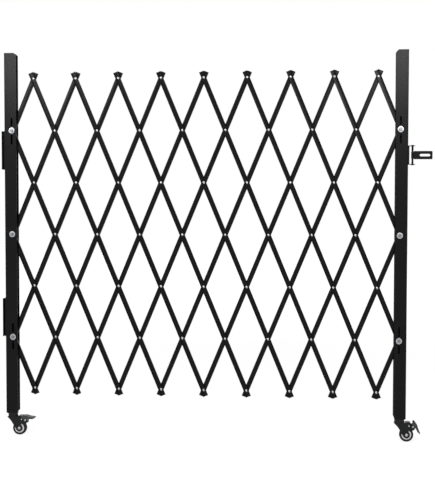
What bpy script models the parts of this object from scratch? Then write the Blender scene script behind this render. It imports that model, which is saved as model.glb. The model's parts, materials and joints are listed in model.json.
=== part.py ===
"""Expandable safety barrier: a riveted scissor lattice of channel links between two channel posts.

Metres, +Z up. +X runs along the gate from its wall hinges to its hasp, and -Y is the front.
The origin is the middle of the lower wall leaf's outer face, where it lies on the wall.
"""
import math

import bmesh
import bpy
from mathutils import Matrix, Vector

# Driving dimensions, all in metres unless the name says otherwise
OVERALL_HEIGHT = 1.524          # floor to the top of the posts
CASTER_HEIGHT = 0.090           # floor to the bottom of the posts
CLEARANCE = 0.0003              # between pieces that touch or run on each other

# Scissor lattice
LINK_PITCH_SHARE = 0.1550       # pivot to pivot along a link, of the posts' length
FOLD_REST_DEG = 22.45           # link angle from upright, as photographed
FOLD_CLOSED_DEG = 3.0           # gate folded together
FOLD_OPEN_DEG = 35.5            # gate pulled out to the end of the slots
COLUMNS = 18                    # pivot columns between the posts' pin lines
ROWS = 6                        # pivot rows between the top and the bottom tips
MIDDLE_ROW = 3                  # the row that is pinned in round holes
LINK_WIDTH = 0.01905
LINK_DEPTH = 0.0095
LINK_WALL = 0.0014
LINK_BEND = 0.0020              # outer chamfer along the channel's bends
LINK_OVERHANG = 0.0254          # past the last pivot at each end

# Rivets
RIVET_HEAD_SIDES = 8
RIVET_SHANK_SIDES = 6
RIVET_SHANK_RADIUS = 0.0024
RIVET_HEAD_RADIUS = 0.0055
RIVET_HEAD_HEIGHT = 0.0024
RIVET_TAIL_RADIUS = 0.0048
RIVET_TAIL_HEIGHT = 0.0021
HEAD_FLAT_SHARE = 0.62          # of a head's radius, where its top goes flat

# Posts
POST_WIDTH = 0.048
POST_DEPTH = 0.032
POST_WALL = 0.002
POST_BEND = 0.0022
POST_CORNER = 0.009             # cut off the flanges' inner corners
PIN_INSET = 0.0293              # pin line from the post's outer face
FOOT_PLATE = 0.0025
SLOT_TOP_MARGIN = 0.013
SLOT_BOTTOM_MARGIN = 0.0025

# Post bolts and nuts
BOLT_SIDES = 10
SHANK_SIDES = 8
BOLT_RADIUS = 0.0031
WASHER_RADIUS = 0.0133
WASHER_THICKNESS = 0.0018
SPACER_RADIUS = 0.0155
HEX_ACROSS_FLATS = 0.0127
HEAD_HEIGHT = 0.0050
NUT_HEIGHT = 0.0055
BOLT_STICKOUT = 0.0025          # thread past the nut

# Casters: the side view is in shares of CASTER_HEIGHT, widths and hardware are lengths
WHEEL_SIDES = 18
WHEEL_RADIUS_SHARE = 0.3111
TYRE_THICKNESS_SHARE = 0.0833
TREAD_WIDTH = 0.0215
TYRE_SHOULDER = 0.0030
HUB_FACE_WIDTH = 0.0150         # the dished faces between rim and boss
RIM_LIP = 0.0030
BOSS_RADIUS = 0.0078
FORK_GAP = 0.0246               # between the fork's legs
FORK_WALL = 0.0023
TRAIL_SHARE = 0.3056            # wheel centre behind the swivel axis
CROWN_REACH_SHARE = 0.2278      # swivel axis to the crown's front and back
CROWN_HEIGHT_SHARE = 0.8278     # floor to the crown's top
CROWN_EDGE = 0.0020             # upright edge at the crown's back
HOOD_BACK_SHARE = 0.2889        # the raised hood over the heel of the brake
HOOD_FRONT_SHARE = 0.4667
HOOD_HEIGHT_SHARE = 0.8722
KNEE_BACK_SHARE = 0.0889        # the legs' back edge: behind the axis, and over the floor
KNEE_HEIGHT_SHARE = 0.6722
SHIN_BACK_SHARE = 0.0111
SHIN_HEIGHT_SHARE = 0.5500
EAR_REACH_SHARE = 0.5389        # the round ears that carry the brake
EAR_HEIGHT_SHARE = 0.6889
EAR_RADIUS_SHARE = 0.1556
EAR_TOP_DEG = 75.0              # where the ears' round edge starts and ends
EAR_TOE_DEG = -75.0
CROTCH_DEG = 66.0               # where ears and legs meet, seen from the wheel's centre
RING_CLEARANCE = 0.0010         # between the tyre's inner edge, seen from the side, and the ears
AXLE_RADIUS = 0.0040
AXLE_HEAD_RADIUS = 0.0058
AXLE_HEAD_HEIGHT = 0.0026
AXLE_EYE_SHARE = 0.1422         # round ends of the legs at the axle
AXLE_EYE_TOP_DEG = 60.0
AXLE_EYE_BACK_DEG = -147.0
SPRING_PIN_SHARES = (0.4078, 0.7033)    # riveted across the fork: behind the axis, over the floor
SPRING_PIN_RADIUS = 0.0018
SPRING_HEAD_RADIUS = 0.0026
SPRING_HEAD_HEIGHT = 0.0010
RACE_RADIUS_SHARE = 0.2222
RACE_NECK_SHARE = 0.2056
RACE_RIM = 0.0035
LOWER_RACE_SHARE = 0.2144
LOWER_RACE_HEIGHT = 0.0030
KING_PIN_RADIUS = 0.0040
KING_HEAD_RADIUS = 0.0065
KING_HEAD_HEIGHT = 0.0022
TOP_PLATE_LENGTH = 0.0400
TOP_PLATE_WIDTH = 0.0320
TOP_PLATE_THICKNESS = 0.0025
TOP_PLATE_CORNER = 0.0040

# Foot brakes: outlines in shares of CASTER_HEIGHT, from the lever's pivot
BRAKE_PIVOT_SHARES = (0.5778, 0.6722)   # behind the swivel axis, over the floor
BRAKE_TOP_SHARES = (
    (-0.1000, 0.1583),          # heel
    (-0.0111, 0.1611),
    (0.0667, 0.1500),
    (0.1333, 0.1333),
    (0.2222, 0.1000),
    (0.3111, 0.0822),
    (0.3833, 0.0911),           # tip
)
BRAKE_WEB_BACK_SHARE = 0.0389   # the block under the pedal, back and front of the pivot
BRAKE_WEB_REACH_SHARE = 0.1389
BRAKE_EYE_SHARE = 0.0611
BRAKE_PIN_RADIUS = 0.0024
BRAKE_SHEET = 0.0022
BRAKE_EYE_TOP_DEG = 20.0
BRAKE_NOSE_HALF_DEG = 13.0
BRAKE_ROOT_HALF_DEG = 39.0      # where the nose grows out of the eye
BRAKE_PRESS_DEG = 58.0

# Wall hinges
HINGE_HEIGHT = 0.152
HINGE_OFFSET = 0.333            # hinge centres above and below the middle row
LEAF_WALL = 0.0030
LEAF_FRONT_INSET = 0.0020       # the leaf's front edge from the post's front
KNUCKLE_RADIUS = 0.00585
KNUCKLE_SIDES = 10
HINGE_PIN_RADIUS = 0.0030
HINGE_PIN_HEAD_RADIUS = 0.0050
HINGE_PIN_HEAD_HEIGHT = 0.0025
SCREW_HOLE_RADIUS = 0.0027
SCREW_HOLE_SHARES = (-0.37, -0.13, 0.13, 0.37)
SCREW_SIDES = 8

# Latch
LATCH_RISE = 0.3116             # the latch's middle above the middle row
BRACKET_HEIGHT = 0.0735
BRACKET_WIDTH = 0.0260
BRACKET_WEB = 0.0045
BRACKET_EAR = 0.0025
EAR_REACH = 0.0275
HASP_PIN_OFFSET = 0.0180        # pin axis from the post's outer face
HASP_PIN_RADIUS = 0.0040
HASP_PIN_HEAD_RADIUS = 0.0056
HASP_PIN_HEAD_HEIGHT = 0.0024
HASP_EYE_RADIUS = 0.0054
HASP_EYE_HEIGHT = 0.0260
HASP_REACH = 0.0765             # pin axis to the hasp's tip
HASP_HEIGHT = 0.0318
HASP_SHEET = 0.0030
HASP_CORNER = 0.0030
HASP_NECK_REACH = 0.0110        # where the plate reaches its full height
HASP_SLOT_LENGTH = 0.0400
HASP_SLOT_WIDTH = 0.0095
HASP_SLOT_END = 0.0090          # slot's end from the tip

OVERRUN = 0.0010                # how far cutters run past what they cut
SHADE_DEG = 40.0                # edges bent more than this stay sharp

# Worked out from the values above
POST_LENGTH = OVERALL_HEIGHT - CASTER_HEIGHT
LINK_PITCH = LINK_PITCH_SHARE * POST_LENGTH
FOLD_REST = math.radians(FOLD_REST_DEG)
COLUMN_STEP = LINK_PITCH * math.sin(FOLD_REST)
ROW_STEP = LINK_PITCH * math.cos(FOLD_REST)
POST_FACE_X = 2 * KNUCKLE_RADIUS + CLEARANCE
PIN_LINE_X = POST_FACE_X + PIN_INSET
MIDDLE_Z = HINGE_OFFSET
WEB_FACE_Y = CLEARANCE / 2
WEB_BACK_Y = WEB_FACE_Y + LINK_WALL
STACK_Y = WEB_FACE_Y + LINK_DEPTH
POST_INNER_Y = POST_DEPTH / 2 - POST_WALL
POST_OUTSIDE = POST_DEPTH / 2 + CLEARANCE
BOLT_HOLE_RADIUS = (BOLT_RADIUS + CLEARANCE) / math.cos(math.pi / SHANK_SIDES)
RIVET_HOLE_RADIUS = (RIVET_SHANK_RADIUS + CLEARANCE) / math.cos(math.pi / RIVET_SHANK_SIDES)
BARREL_Y = POST_DEPTH / 2 + KNUCKLE_RADIUS
WHEEL_RADIUS = WHEEL_RADIUS_SHARE * CASTER_HEIGHT
TYRE_THICKNESS = TYRE_THICKNESS_SHARE * CASTER_HEIGHT
CASTER_TRAIL = TRAIL_SHARE * CASTER_HEIGHT
CROWN_REACH = CROWN_REACH_SHARE * CASTER_HEIGHT
CROWN_HEIGHT = CROWN_HEIGHT_SHARE * CASTER_HEIGHT
BRAKE_PIVOT_X, BRAKE_PIVOT_Z = (share * CASTER_HEIGHT for share in BRAKE_PIVOT_SHARES)

COLLECTION = "expandable_safety_barrier"
CUTTERS = "barrier_cutters"

for old in list(bpy.data.objects):
    bpy.data.objects.remove(old, do_unlink=True)
parts = bpy.data.collections.new(COLLECTION)
cutters = bpy.data.collections.new(CUTTERS)
bpy.context.scene.collection.children.link(parts)
bpy.context.scene.collection.children.link(cutters)


def material(name, colour, roughness, metallic):
    """A Principled material in one colour."""
    made = bpy.data.materials.new(name)
    made.use_nodes = True
    shader = made.node_tree.nodes["Principled BSDF"]
    shader.inputs["Base Color"].default_value = (*colour, 1.0)
    shader.inputs["Roughness"].default_value = roughness
    shader.inputs["Metallic"].default_value = metallic
    made.diffuse_color = (*colour, 1.0)
    return made


BLACK_PAINT = material("black_powder_coat", (0.012, 0.012, 0.013), 0.42, 0.0)
ZINC = material("bright_zinc_plate", (0.72, 0.73, 0.75), 0.30, 1.0)
TREAD_RUBBER = material("black_tread_rubber", (0.010, 0.010, 0.010), 0.75, 0.0)
WHEEL_PLASTIC = material("pale_wheel_plastic", (0.62, 0.62, 0.60), 0.50, 0.0)
BRAKE_STEEL = material("plated_brake_steel", (0.16, 0.16, 0.165), 0.42, 1.0)


def shade(mesh):
    """Smooth round faces and keep the edges between flat ones."""
    mesh.shade_smooth()
    mesh.set_sharp_from_angle(angle=math.radians(SHADE_DEG))


def place(name, mesh, look, parent, location=(0, 0, 0), rotation=(0, 0, 0)):
    """One named piece of the barrier, in its parent's frame."""
    piece = bpy.data.objects.new(name, mesh)
    if look.name not in mesh.materials:
        mesh.materials.append(look)
    parts.objects.link(piece)
    piece.parent = parent
    piece.location = location
    piece.rotation_euler = rotation
    return piece


def axis_empty(name, parent, location, rotation=(0, 0, 0)):
    """An empty on a joint's axis, which carries the pieces that turn there."""
    empty = bpy.data.objects.new(name, None)
    empty.empty_display_size = POST_WIDTH
    parts.objects.link(empty)
    empty.parent = parent
    empty.location = location
    empty.rotation_euler = rotation
    return empty


def evaluated_mesh(source, name):
    """The object's mesh with its modifiers applied and its seams welded."""
    bpy.context.view_layer.update()
    graph = bpy.context.evaluated_depsgraph_get()
    mesh = bpy.data.meshes.new_from_object(source.evaluated_get(graph))
    mesh.name = name
    mesh.transform(source.matrix_world)
    bm = bmesh.new()
    bm.from_mesh(mesh)
    bmesh.ops.remove_doubles(bm, verts=bm.verts, dist=CLEARANCE / 300)
    bmesh.ops.recalc_face_normals(bm, faces=bm.faces)
    bm.to_mesh(mesh)
    bm.free()
    return mesh


def extruded(name, outlines, thickness):
    """A flat outline in X and Y, with any holes as further outlines, centred on Z."""
    curve = bpy.data.curves.new(name, "CURVE")
    curve.dimensions = "2D"
    curve.fill_mode = "BOTH"
    curve.extrude = thickness / 2
    for outline in outlines:
        spline = curve.splines.new("POLY")
        spline.points.add(len(outline) - 1)
        for point, (x, y) in zip(spline.points, outline):
            point.co = (x, y, 0, 1)
        spline.use_cyclic_u = True
    holder = bpy.data.objects.new(name, curve)
    cutters.objects.link(holder)
    mesh = evaluated_mesh(holder, name)
    bpy.data.objects.remove(holder, do_unlink=True)
    bpy.data.curves.remove(curve)
    return mesh


def turned(name, profile, sides):
    """A profile of (radius, height) points turned about Z, both ends on the axis or closed."""
    bm = bmesh.new()
    verts = [bm.verts.new((radius, 0, height)) for radius, height in profile]
    for lower, upper in zip(verts, verts[1:]):
        bm.edges.new((lower, upper))
    mesh = bpy.data.meshes.new(name)
    bm.to_mesh(mesh)
    bm.free()
    holder = bpy.data.objects.new(name, mesh)
    cutters.objects.link(holder)
    screw = holder.modifiers.new("turn", "SCREW")
    screw.axis = "Z"
    screw.steps = sides
    screw.render_steps = sides
    screw.use_merge_vertices = True
    screw.merge_threshold = CLEARANCE / 30
    made = evaluated_mesh(holder, name)
    bpy.data.objects.remove(holder, do_unlink=True)
    return made


def cylinder(name, radius, length, sides):
    """A cylinder along Z, centred."""
    bm = bmesh.new()
    bmesh.ops.create_cone(
        bm, cap_ends=True, segments=sides, radius1=radius, radius2=radius, depth=length
    )
    mesh = bpy.data.meshes.new(name)
    bm.to_mesh(mesh)
    bm.free()
    return mesh


def box(name, low, high):
    """A box between two corners."""
    bm = bmesh.new()
    bmesh.ops.create_cube(bm, size=1)
    size = Vector(high) - Vector(low)
    middle = (Vector(high) + Vector(low)) / 2
    bmesh.ops.scale(bm, vec=size, verts=bm.verts)
    bmesh.ops.translate(bm, vec=middle, verts=bm.verts)
    mesh = bpy.data.meshes.new(name)
    bm.to_mesh(mesh)
    bm.free()
    return mesh


def moved(mesh, location=(0, 0, 0), rotation=None):
    """The mesh itself, turned and then shifted."""
    if rotation is not None:
        mesh.transform(rotation)
    mesh.transform(Matrix.Translation(location))
    return mesh


def gathered(name, meshes):
    """Several closed bodies in one mesh, to cut or join in one go."""
    bm = bmesh.new()
    for mesh in meshes:
        bm.from_mesh(mesh)
    made = bpy.data.meshes.new(name)
    bm.to_mesh(made)
    bm.free()
    return made


def combined(name, base, tools):
    """The base mesh after a Boolean with each (operation, mesh) in turn."""
    holder = bpy.data.objects.new(name, base)
    cutters.objects.link(holder)
    helpers = []
    for number, (operation, mesh) in enumerate(tools):
        helper = bpy.data.objects.new(f"{name}_tool_{number}", mesh)
        helper.hide_render = True
        helper.display_type = "WIRE"
        cutters.objects.link(helper)
        step = holder.modifiers.new(f"step_{number}", "BOOLEAN")
        step.operation = operation
        step.solver = "EXACT"
        step.object = helper
        helpers.append(helper)
    made = evaluated_mesh(holder, name)
    for helper in helpers + [holder]:
        bpy.data.objects.remove(helper, do_unlink=True)
    shade(made)
    return made


TO_Y = Matrix.Rotation(math.radians(90), 4, "X")       # local +Z becomes -Y, the front


def arc(centre, radius, start_deg, end_deg, steps):
    """Points along an arc, both ends included."""
    angles = [
        math.radians(start_deg + (end_deg - start_deg) * step / steps) for step in range(steps + 1)
    ]
    return [(centre[0] + radius * math.cos(a), centre[1] + radius * math.sin(a)) for a in angles]


def slot_outline(length, width, steps):
    """A slot with round ends, its length along Y, centred."""
    reach = (length - width) / 2
    top = arc((0, reach), width / 2, 0, 180, steps)
    bottom = arc((0, -reach), width / 2, 180, 360, steps)
    return top + bottom


def channel_outline(width, depth, wall, bend):
    """A channel's section: its web along X at Y = 0, flanges to Y = depth, bends cut off."""
    half = width / 2
    return [
        (-half, depth),
        (-half, bend),
        (-half + bend, 0),
        (half - bend, 0),
        (half, bend),
        (half, depth),
        (half - wall, depth),
        (half - wall, wall),
        (-half + wall, wall),
        (-half + wall, depth),
    ]


def rivet_head_mesh():
    """A rivet's head along Z, tapered from its flat top into the front web."""
    sunk = LINK_WALL / 4
    flat = RIVET_HEAD_RADIUS * HEAD_FLAT_SHARE
    spread = (RIVET_HEAD_RADIUS - flat) * sunk / RIVET_HEAD_HEIGHT
    profile = [
        (0, WEB_BACK_Y + RIVET_HEAD_HEIGHT),
        (flat, WEB_BACK_Y + RIVET_HEAD_HEIGHT),
        (RIVET_HEAD_RADIUS + spread, WEB_BACK_Y - sunk),
        (0, WEB_BACK_Y - sunk),
    ]
    return turned("rivet_head", profile, RIVET_HEAD_SIDES)


def rivet_shank_mesh():
    """A rivet's shank and tail along Z, from inside the front web to behind the rear one."""
    tail_seat = -WEB_BACK_Y - CLEARANCE
    tail_end = tail_seat - RIVET_TAIL_HEIGHT
    profile = [
        (0, WEB_FACE_Y + LINK_WALL / 4),
        (RIVET_SHANK_RADIUS, WEB_FACE_Y + LINK_WALL / 4),
        (RIVET_SHANK_RADIUS, tail_seat),
        (RIVET_TAIL_RADIUS, tail_seat),
        (RIVET_TAIL_RADIUS * HEAD_FLAT_SHARE, tail_end),
        (0, tail_end),
    ]
    return turned("rivet_shank", profile, RIVET_SHANK_SIDES)


def link_mesh(name, pivots, is_front):
    """A link upright from its first pivot at Z = 0; pivots names what each one holds, from below.

    A front link carries its rivets. A rear link has holes for them, and both have bolt holes.
    """
    top = (len(pivots) - 1) * LINK_PITCH
    length = top + 2 * LINK_OVERHANG
    section = channel_outline(LINK_WIDTH, LINK_DEPTH, LINK_WALL, LINK_BEND)
    bar = extruded(name, [section], length)
    # the web's outer face lies on the middle plane, the flanges point away from it
    turn = Matrix.Rotation(math.radians(180 if is_front else 0), 4, "Z")
    offset = -WEB_FACE_Y if is_front else WEB_FACE_Y
    moved(bar, (0, offset, top / 2), turn)
    drills = []
    rivets = []
    for number, held in enumerate(pivots):
        height = number * LINK_PITCH
        if held == "rivet" and is_front:
            rivets.append(moved(rivet_head_mesh(), (0, 0, height), TO_Y))
            rivets.append(moved(rivet_shank_mesh(), (0, 0, height), TO_Y))
            continue
        if held == "bolt":
            drill = cylinder("drill", BOLT_HOLE_RADIUS, LINK_DEPTH, SHANK_SIDES)
        else:
            drill = cylinder("drill", RIVET_HOLE_RADIUS, LINK_DEPTH, RIVET_SHANK_SIDES)
        drills.append(moved(drill, (0, 0, height), TO_Y))
    tools = []
    if drills:
        tools.append(("DIFFERENCE", gathered("drills", drills)))
    if rivets:
        tools.append(("UNION", gathered("rivets", rivets)))
    return combined(name, bar, tools)


def post_mesh(slotted):
    """A post about its pin line: web at X = -PIN_INSET, flanges towards +X, middle row at Z = 0.

    Only one flange has slots, the one on the side of Y that slotted gives, as -1 or 1.
    """
    web_x = -PIN_INSET
    edge_x = web_x + POST_WIDTH
    half = POST_LENGTH / 2
    section = channel_outline(POST_DEPTH, POST_WIDTH, POST_WALL, POST_BEND)
    bar = extruded("post", [section], POST_LENGTH)
    quarter = Matrix.Rotation(math.radians(-90), 4, "Z")
    moved(bar, (web_x, 0, 0), quarter)
    foot = box(
        "foot",
        (web_x + POST_WALL / 2, -POST_INNER_Y - POST_WALL / 2, -half),
        (edge_x - POST_CORNER, POST_INNER_Y + POST_WALL / 2, -half + FOOT_PLATE),
    )
    through = POST_DEPTH + 2 * OVERRUN
    pin_low = 2 * LINK_PITCH * math.cos(math.radians(FOLD_OPEN_DEG))
    pin_high = 2 * LINK_PITCH * math.cos(math.radians(FOLD_CLOSED_DEG))
    slot_low = pin_low - BOLT_HOLE_RADIUS - SLOT_BOTTOM_MARGIN
    slot_high = pin_high + BOLT_HOLE_RADIUS + SLOT_TOP_MARGIN
    slot_y = slotted * (POST_DEPTH - POST_WALL) / 2
    cuts = []
    for side in (-1, 1):
        slot = extruded(
            "slot",
            [slot_outline(slot_high - slot_low, 2 * BOLT_HOLE_RADIUS, 4)],
            POST_WALL + 2 * OVERRUN,
        )
        cuts.append(moved(slot, (0, slot_y, side * (slot_high + slot_low) / 2), TO_Y))
        cut = POST_CORNER + OVERRUN
        corner = extruded("corner", [[(cut, cut), (-cut, cut), (cut, -cut)]], through)
        flip = Matrix.Scale(side, 4, (0, 0, 1)) @ TO_Y
        corner = moved(corner, (0, 0, 0), flip)
        if side < 0:
            corner.flip_normals()
        reach = edge_x - POST_CORNER / 2 + OVERRUN / 2
        cuts.append(moved(corner, (reach, 0, side * (half - POST_CORNER / 2 + OVERRUN / 2))))
    hole = cylinder("hole", BOLT_HOLE_RADIUS, through, SHANK_SIDES)
    cuts.append(moved(hole, (0, 0, 0), TO_Y))
    return combined("post", bar, [("UNION", foot), ("DIFFERENCE", gathered("cuts", cuts))])


def bolt_mesh(slides):
    """A post bolt along Z with its head to +Z: washer, shank and inner spacers.

    A sliding bolt ends in the channel of the rear link, so it has a spacer in front only.
    """
    head = POST_OUTSIDE + WASHER_THICKNESS
    nut_seat = WEB_BACK_Y + CLEARANCE if slides else head
    end = nut_seat + NUT_HEIGHT + BOLT_STICKOUT
    spacer_in = STACK_Y + CLEARANCE
    spacer_out = POST_INNER_Y - CLEARANCE
    shank = cylinder("shank", BOLT_RADIUS, head + end, SHANK_SIDES)
    moved(shank, (0, 0, (head - end) / 2))
    washer = cylinder("washer", WASHER_RADIUS, WASHER_THICKNESS, BOLT_SIDES)
    moved(washer, (0, 0, POST_OUTSIDE + WASHER_THICKNESS / 2))
    hexagon = cylinder(
        "hexagon", HEX_ACROSS_FLATS / math.sqrt(3), HEAD_HEIGHT + WASHER_THICKNESS / 2, 6
    )
    moved(hexagon, (0, 0, head + HEAD_HEIGHT / 2 - WASHER_THICKNESS / 4))
    collars = []
    for side in (1,) if slides else (-1, 1):
        collar = cylinder("collar", SPACER_RADIUS, spacer_out - spacer_in, BOLT_SIDES)
        collars.append(moved(collar, (0, 0, side * (spacer_in + spacer_out) / 2)))
    tools = [("UNION", gathered("discs", [washer] + collars)), ("UNION", hexagon)]
    return moved(combined("post_bolt", shank, tools), (0, 0, 0), TO_Y)


def nut_mesh(slides):
    """A hexagon nut along Z, bored for the bolt, its outer end to -Z.

    A sliding nut sits on the rear link's web, the others have a washer on the rear flange.
    """
    radius = HEX_ACROSS_FLATS / math.sqrt(3)
    bore = cylinder("bore", BOLT_HOLE_RADIUS, 2 * POST_DEPTH, SHANK_SIDES)
    if slides:
        seat = WEB_BACK_Y + CLEARANCE
        hexagon = moved(cylinder("hexagon", radius, NUT_HEIGHT, 6), (0, 0, -seat - NUT_HEIGHT / 2))
        return moved(combined("sliding_nut", hexagon, [("DIFFERENCE", bore)]), (0, 0, 0), TO_Y)
    washer = cylinder("washer", WASHER_RADIUS, WASHER_THICKNESS, BOLT_SIDES)
    moved(washer, (0, 0, -POST_OUTSIDE - WASHER_THICKNESS / 2))
    hexagon = cylinder("hexagon", radius, NUT_HEIGHT + WASHER_THICKNESS / 2, 6)
    moved(hexagon, (0, 0, -POST_OUTSIDE - 3 * WASHER_THICKNESS / 4 - NUT_HEIGHT / 2))
    made = combined("post_nut", washer, [("UNION", hexagon), ("DIFFERENCE", bore)])
    return moved(made, (0, 0, 0), TO_Y)


def caster_plate_mesh():
    """Top plate, upper race and king pin about the swivel axis, with the floor at Z = 0."""
    plate_top = CASTER_HEIGHT - CLEARANCE
    plate_low = plate_top - TOP_PLATE_THICKNESS
    race_low = CROWN_HEIGHT + LOWER_RACE_HEIGHT + CLEARANCE
    pin_low = CROWN_HEIGHT - FORK_WALL - CLEARANCE
    neck_radius = RACE_NECK_SHARE * CASTER_HEIGHT
    race_radius = RACE_RADIUS_SHARE * CASTER_HEIGHT
    x, y, c = TOP_PLATE_LENGTH / 2, TOP_PLATE_WIDTH / 2, TOP_PLATE_CORNER
    outline = [(-x, -y + c), (-x + c, -y), (x - c, -y), (x, -y + c)]
    outline += [(-a, -b) for a, b in outline]
    plate = extruded("top_plate", [outline], TOP_PLATE_THICKNESS)
    moved(plate, (0, 0, (plate_top + plate_low) / 2))
    profile = [
        (0, plate_low + TOP_PLATE_THICKNESS / 2),
        (neck_radius, plate_low + TOP_PLATE_THICKNESS / 2),
        (neck_radius, plate_low - TOP_PLATE_THICKNESS / 2),
        (race_radius, race_low + RACE_RIM),
        (race_radius, race_low),
        (KING_PIN_RADIUS, race_low),
        (KING_PIN_RADIUS, pin_low),
        (KING_HEAD_RADIUS, pin_low),
        (KING_HEAD_RADIUS, pin_low - KING_HEAD_HEIGHT),
        (0, pin_low - KING_HEAD_HEIGHT),
    ]
    pin = turned("race_and_pin", profile, BOLT_SIDES)
    return combined("caster_plate", plate, [("UNION", pin)])


def fork_mesh():
    """The fork about the swivel axis: its side outline across its full width, then hollowed."""
    height = CASTER_HEIGHT
    wheel = (CASTER_TRAIL, WHEEL_RADIUS)
    ear_centre = (EAR_REACH_SHARE * height, EAR_HEIGHT_SHARE * height)
    ear = arc(ear_centre, EAR_RADIUS_SHARE * height, EAR_TOP_DEG, EAR_TOE_DEG, 6)
    # the ears stop just outside the wheel's pale ring, the legs go down beside it
    ring = WHEEL_RADIUS - TYRE_THICKNESS + RING_CLEARANCE
    crotch = arc(wheel, ring, CROTCH_DEG, CROTCH_DEG, 1)[0]
    eye = arc(wheel, AXLE_EYE_SHARE * height, AXLE_EYE_TOP_DEG, AXLE_EYE_BACK_DEG, 8)
    hood_back, hood_front = HOOD_BACK_SHARE * height, HOOD_FRONT_SHARE * height
    hood_top = HOOD_HEIGHT_SHARE * height
    outline = [
        (-CROWN_REACH, CROWN_HEIGHT),
        (CROWN_REACH, CROWN_HEIGHT),
        (hood_back, hood_top),
        (hood_front, hood_top),
        *ear,
        crotch,
        *eye,
        (-SHIN_BACK_SHARE * height, SHIN_HEIGHT_SHARE * height),
        (-KNEE_BACK_SHARE * height, KNEE_HEIGHT_SHARE * height),
        (-CROWN_REACH, CROWN_HEIGHT - CROWN_EDGE),
    ]
    width = FORK_GAP + 2 * FORK_WALL
    block = moved(extruded("fork", [outline], width), (0, 0, 0), TO_Y)
    # hollow below crown and hood, and open to the top between the ears
    under = CROWN_HEIGHT - FORK_WALL
    bend = FORK_WALL / 3
    inside = [
        (-height, -OVERRUN),
        (height, -OVERRUN),
        (height, height),
        (hood_front - FORK_WALL / 2, height),
        (hood_front - FORK_WALL / 2, hood_top - FORK_WALL),
        (hood_back + bend, hood_top - FORK_WALL),
        (CROWN_REACH + bend, under),
        (-height, under),
    ]
    hollow = moved(extruded("hollow", [inside], FORK_GAP), (0, 0, 0), TO_Y)
    seat = FORK_WALL / 2
    race_radius = LOWER_RACE_SHARE * CASTER_HEIGHT
    race = cylinder("race", race_radius, LOWER_RACE_HEIGHT + seat, BOLT_SIDES)
    moved(race, (0, 0, CROWN_HEIGHT + (LOWER_RACE_HEIGHT - seat) / 2))
    king = cylinder("king", KING_PIN_RADIUS + 2 * CLEARANCE, CASTER_HEIGHT, BOLT_SIDES)
    moved(king, (0, 0, CROWN_HEIGHT))
    axle = cylinder("axle", AXLE_RADIUS + 2 * CLEARANCE, 2 * width, SHANK_SIDES)
    moved(axle, (CASTER_TRAIL, 0, WHEEL_RADIUS), TO_Y)
    brake = cylinder("brake", BRAKE_PIN_RADIUS + 2 * CLEARANCE, 2 * width, SHANK_SIDES)
    moved(brake, (BRAKE_PIVOT_X, 0, BRAKE_PIVOT_Z), TO_Y)
    spring_end = width / 2 + SPRING_HEAD_HEIGHT
    spring_half = [
        (0, spring_end),
        (SPRING_HEAD_RADIUS, spring_end),
        (SPRING_HEAD_RADIUS, width / 2 - FORK_WALL / 2),
        (SPRING_PIN_RADIUS, width / 2 - FORK_WALL / 2),
    ]
    spring_profile = spring_half + [(radius, -z) for radius, z in reversed(spring_half)]
    spring_x, spring_z = (share * height for share in SPRING_PIN_SHARES)
    spring_pin = turned("spring_pin", spring_profile, SHANK_SIDES)
    moved(spring_pin, (spring_x, 0, spring_z), TO_Y)
    tools = [
        ("DIFFERENCE", hollow),
        ("UNION", gathered("race_and_spring_pin", [race, spring_pin])),
        ("DIFFERENCE", king),
        ("DIFFERENCE", gathered("cross_bores", [axle, brake])),
    ]
    return combined("caster_fork", block, tools)


def wheel_mesh():
    """The wheel's centre about its axle along Z: rim, dished faces, boss and bore."""
    rim = WHEEL_RADIUS - TYRE_THICKNESS - CLEARANCE
    bore = AXLE_RADIUS + CLEARANCE
    tread, face = TREAD_WIDTH / 2, HUB_FACE_WIDTH / 2
    boss = FORK_GAP / 2 - CLEARANCE
    profile = [
        (bore, boss),
        (BOSS_RADIUS, boss),
        (BOSS_RADIUS, face),
        (rim - RIM_LIP, face),
        (rim - RIM_LIP, tread),
        (rim, tread),
    ]
    profile += [(radius, -height) for radius, height in reversed(profile)]
    return turned("caster_wheel", profile + [profile[0]], WHEEL_SIDES)


def tyre_mesh():
    """The tread ring about the axle along Z."""
    inner = WHEEL_RADIUS - TYRE_THICKNESS
    tread = TREAD_WIDTH / 2
    profile = [
        (inner, tread),
        (WHEEL_RADIUS - TYRE_SHOULDER, tread),
        (WHEEL_RADIUS, tread - TYRE_SHOULDER),
        (WHEEL_RADIUS, TYRE_SHOULDER - tread),
        (WHEEL_RADIUS - TYRE_SHOULDER, -tread),
        (inner, -tread),
    ]
    return turned("caster_tyre", profile + [profile[0]], WHEEL_SIDES)


def axle_mesh():
    """A riveted axle along Z with a head outside each leg."""
    seat = FORK_GAP / 2 + FORK_WALL + CLEARANCE
    end = seat + AXLE_HEAD_HEIGHT
    half = [
        (0, end),
        (AXLE_HEAD_RADIUS * HEAD_FLAT_SHARE, end),
        (AXLE_HEAD_RADIUS, seat + AXLE_HEAD_HEIGHT / 2),
        (AXLE_HEAD_RADIUS, seat),
        (AXLE_RADIUS, seat),
    ]
    profile = half + [(radius, -height) for radius, height in reversed(half)]
    return turned("caster_axle", profile, BOLT_SIDES)


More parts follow.
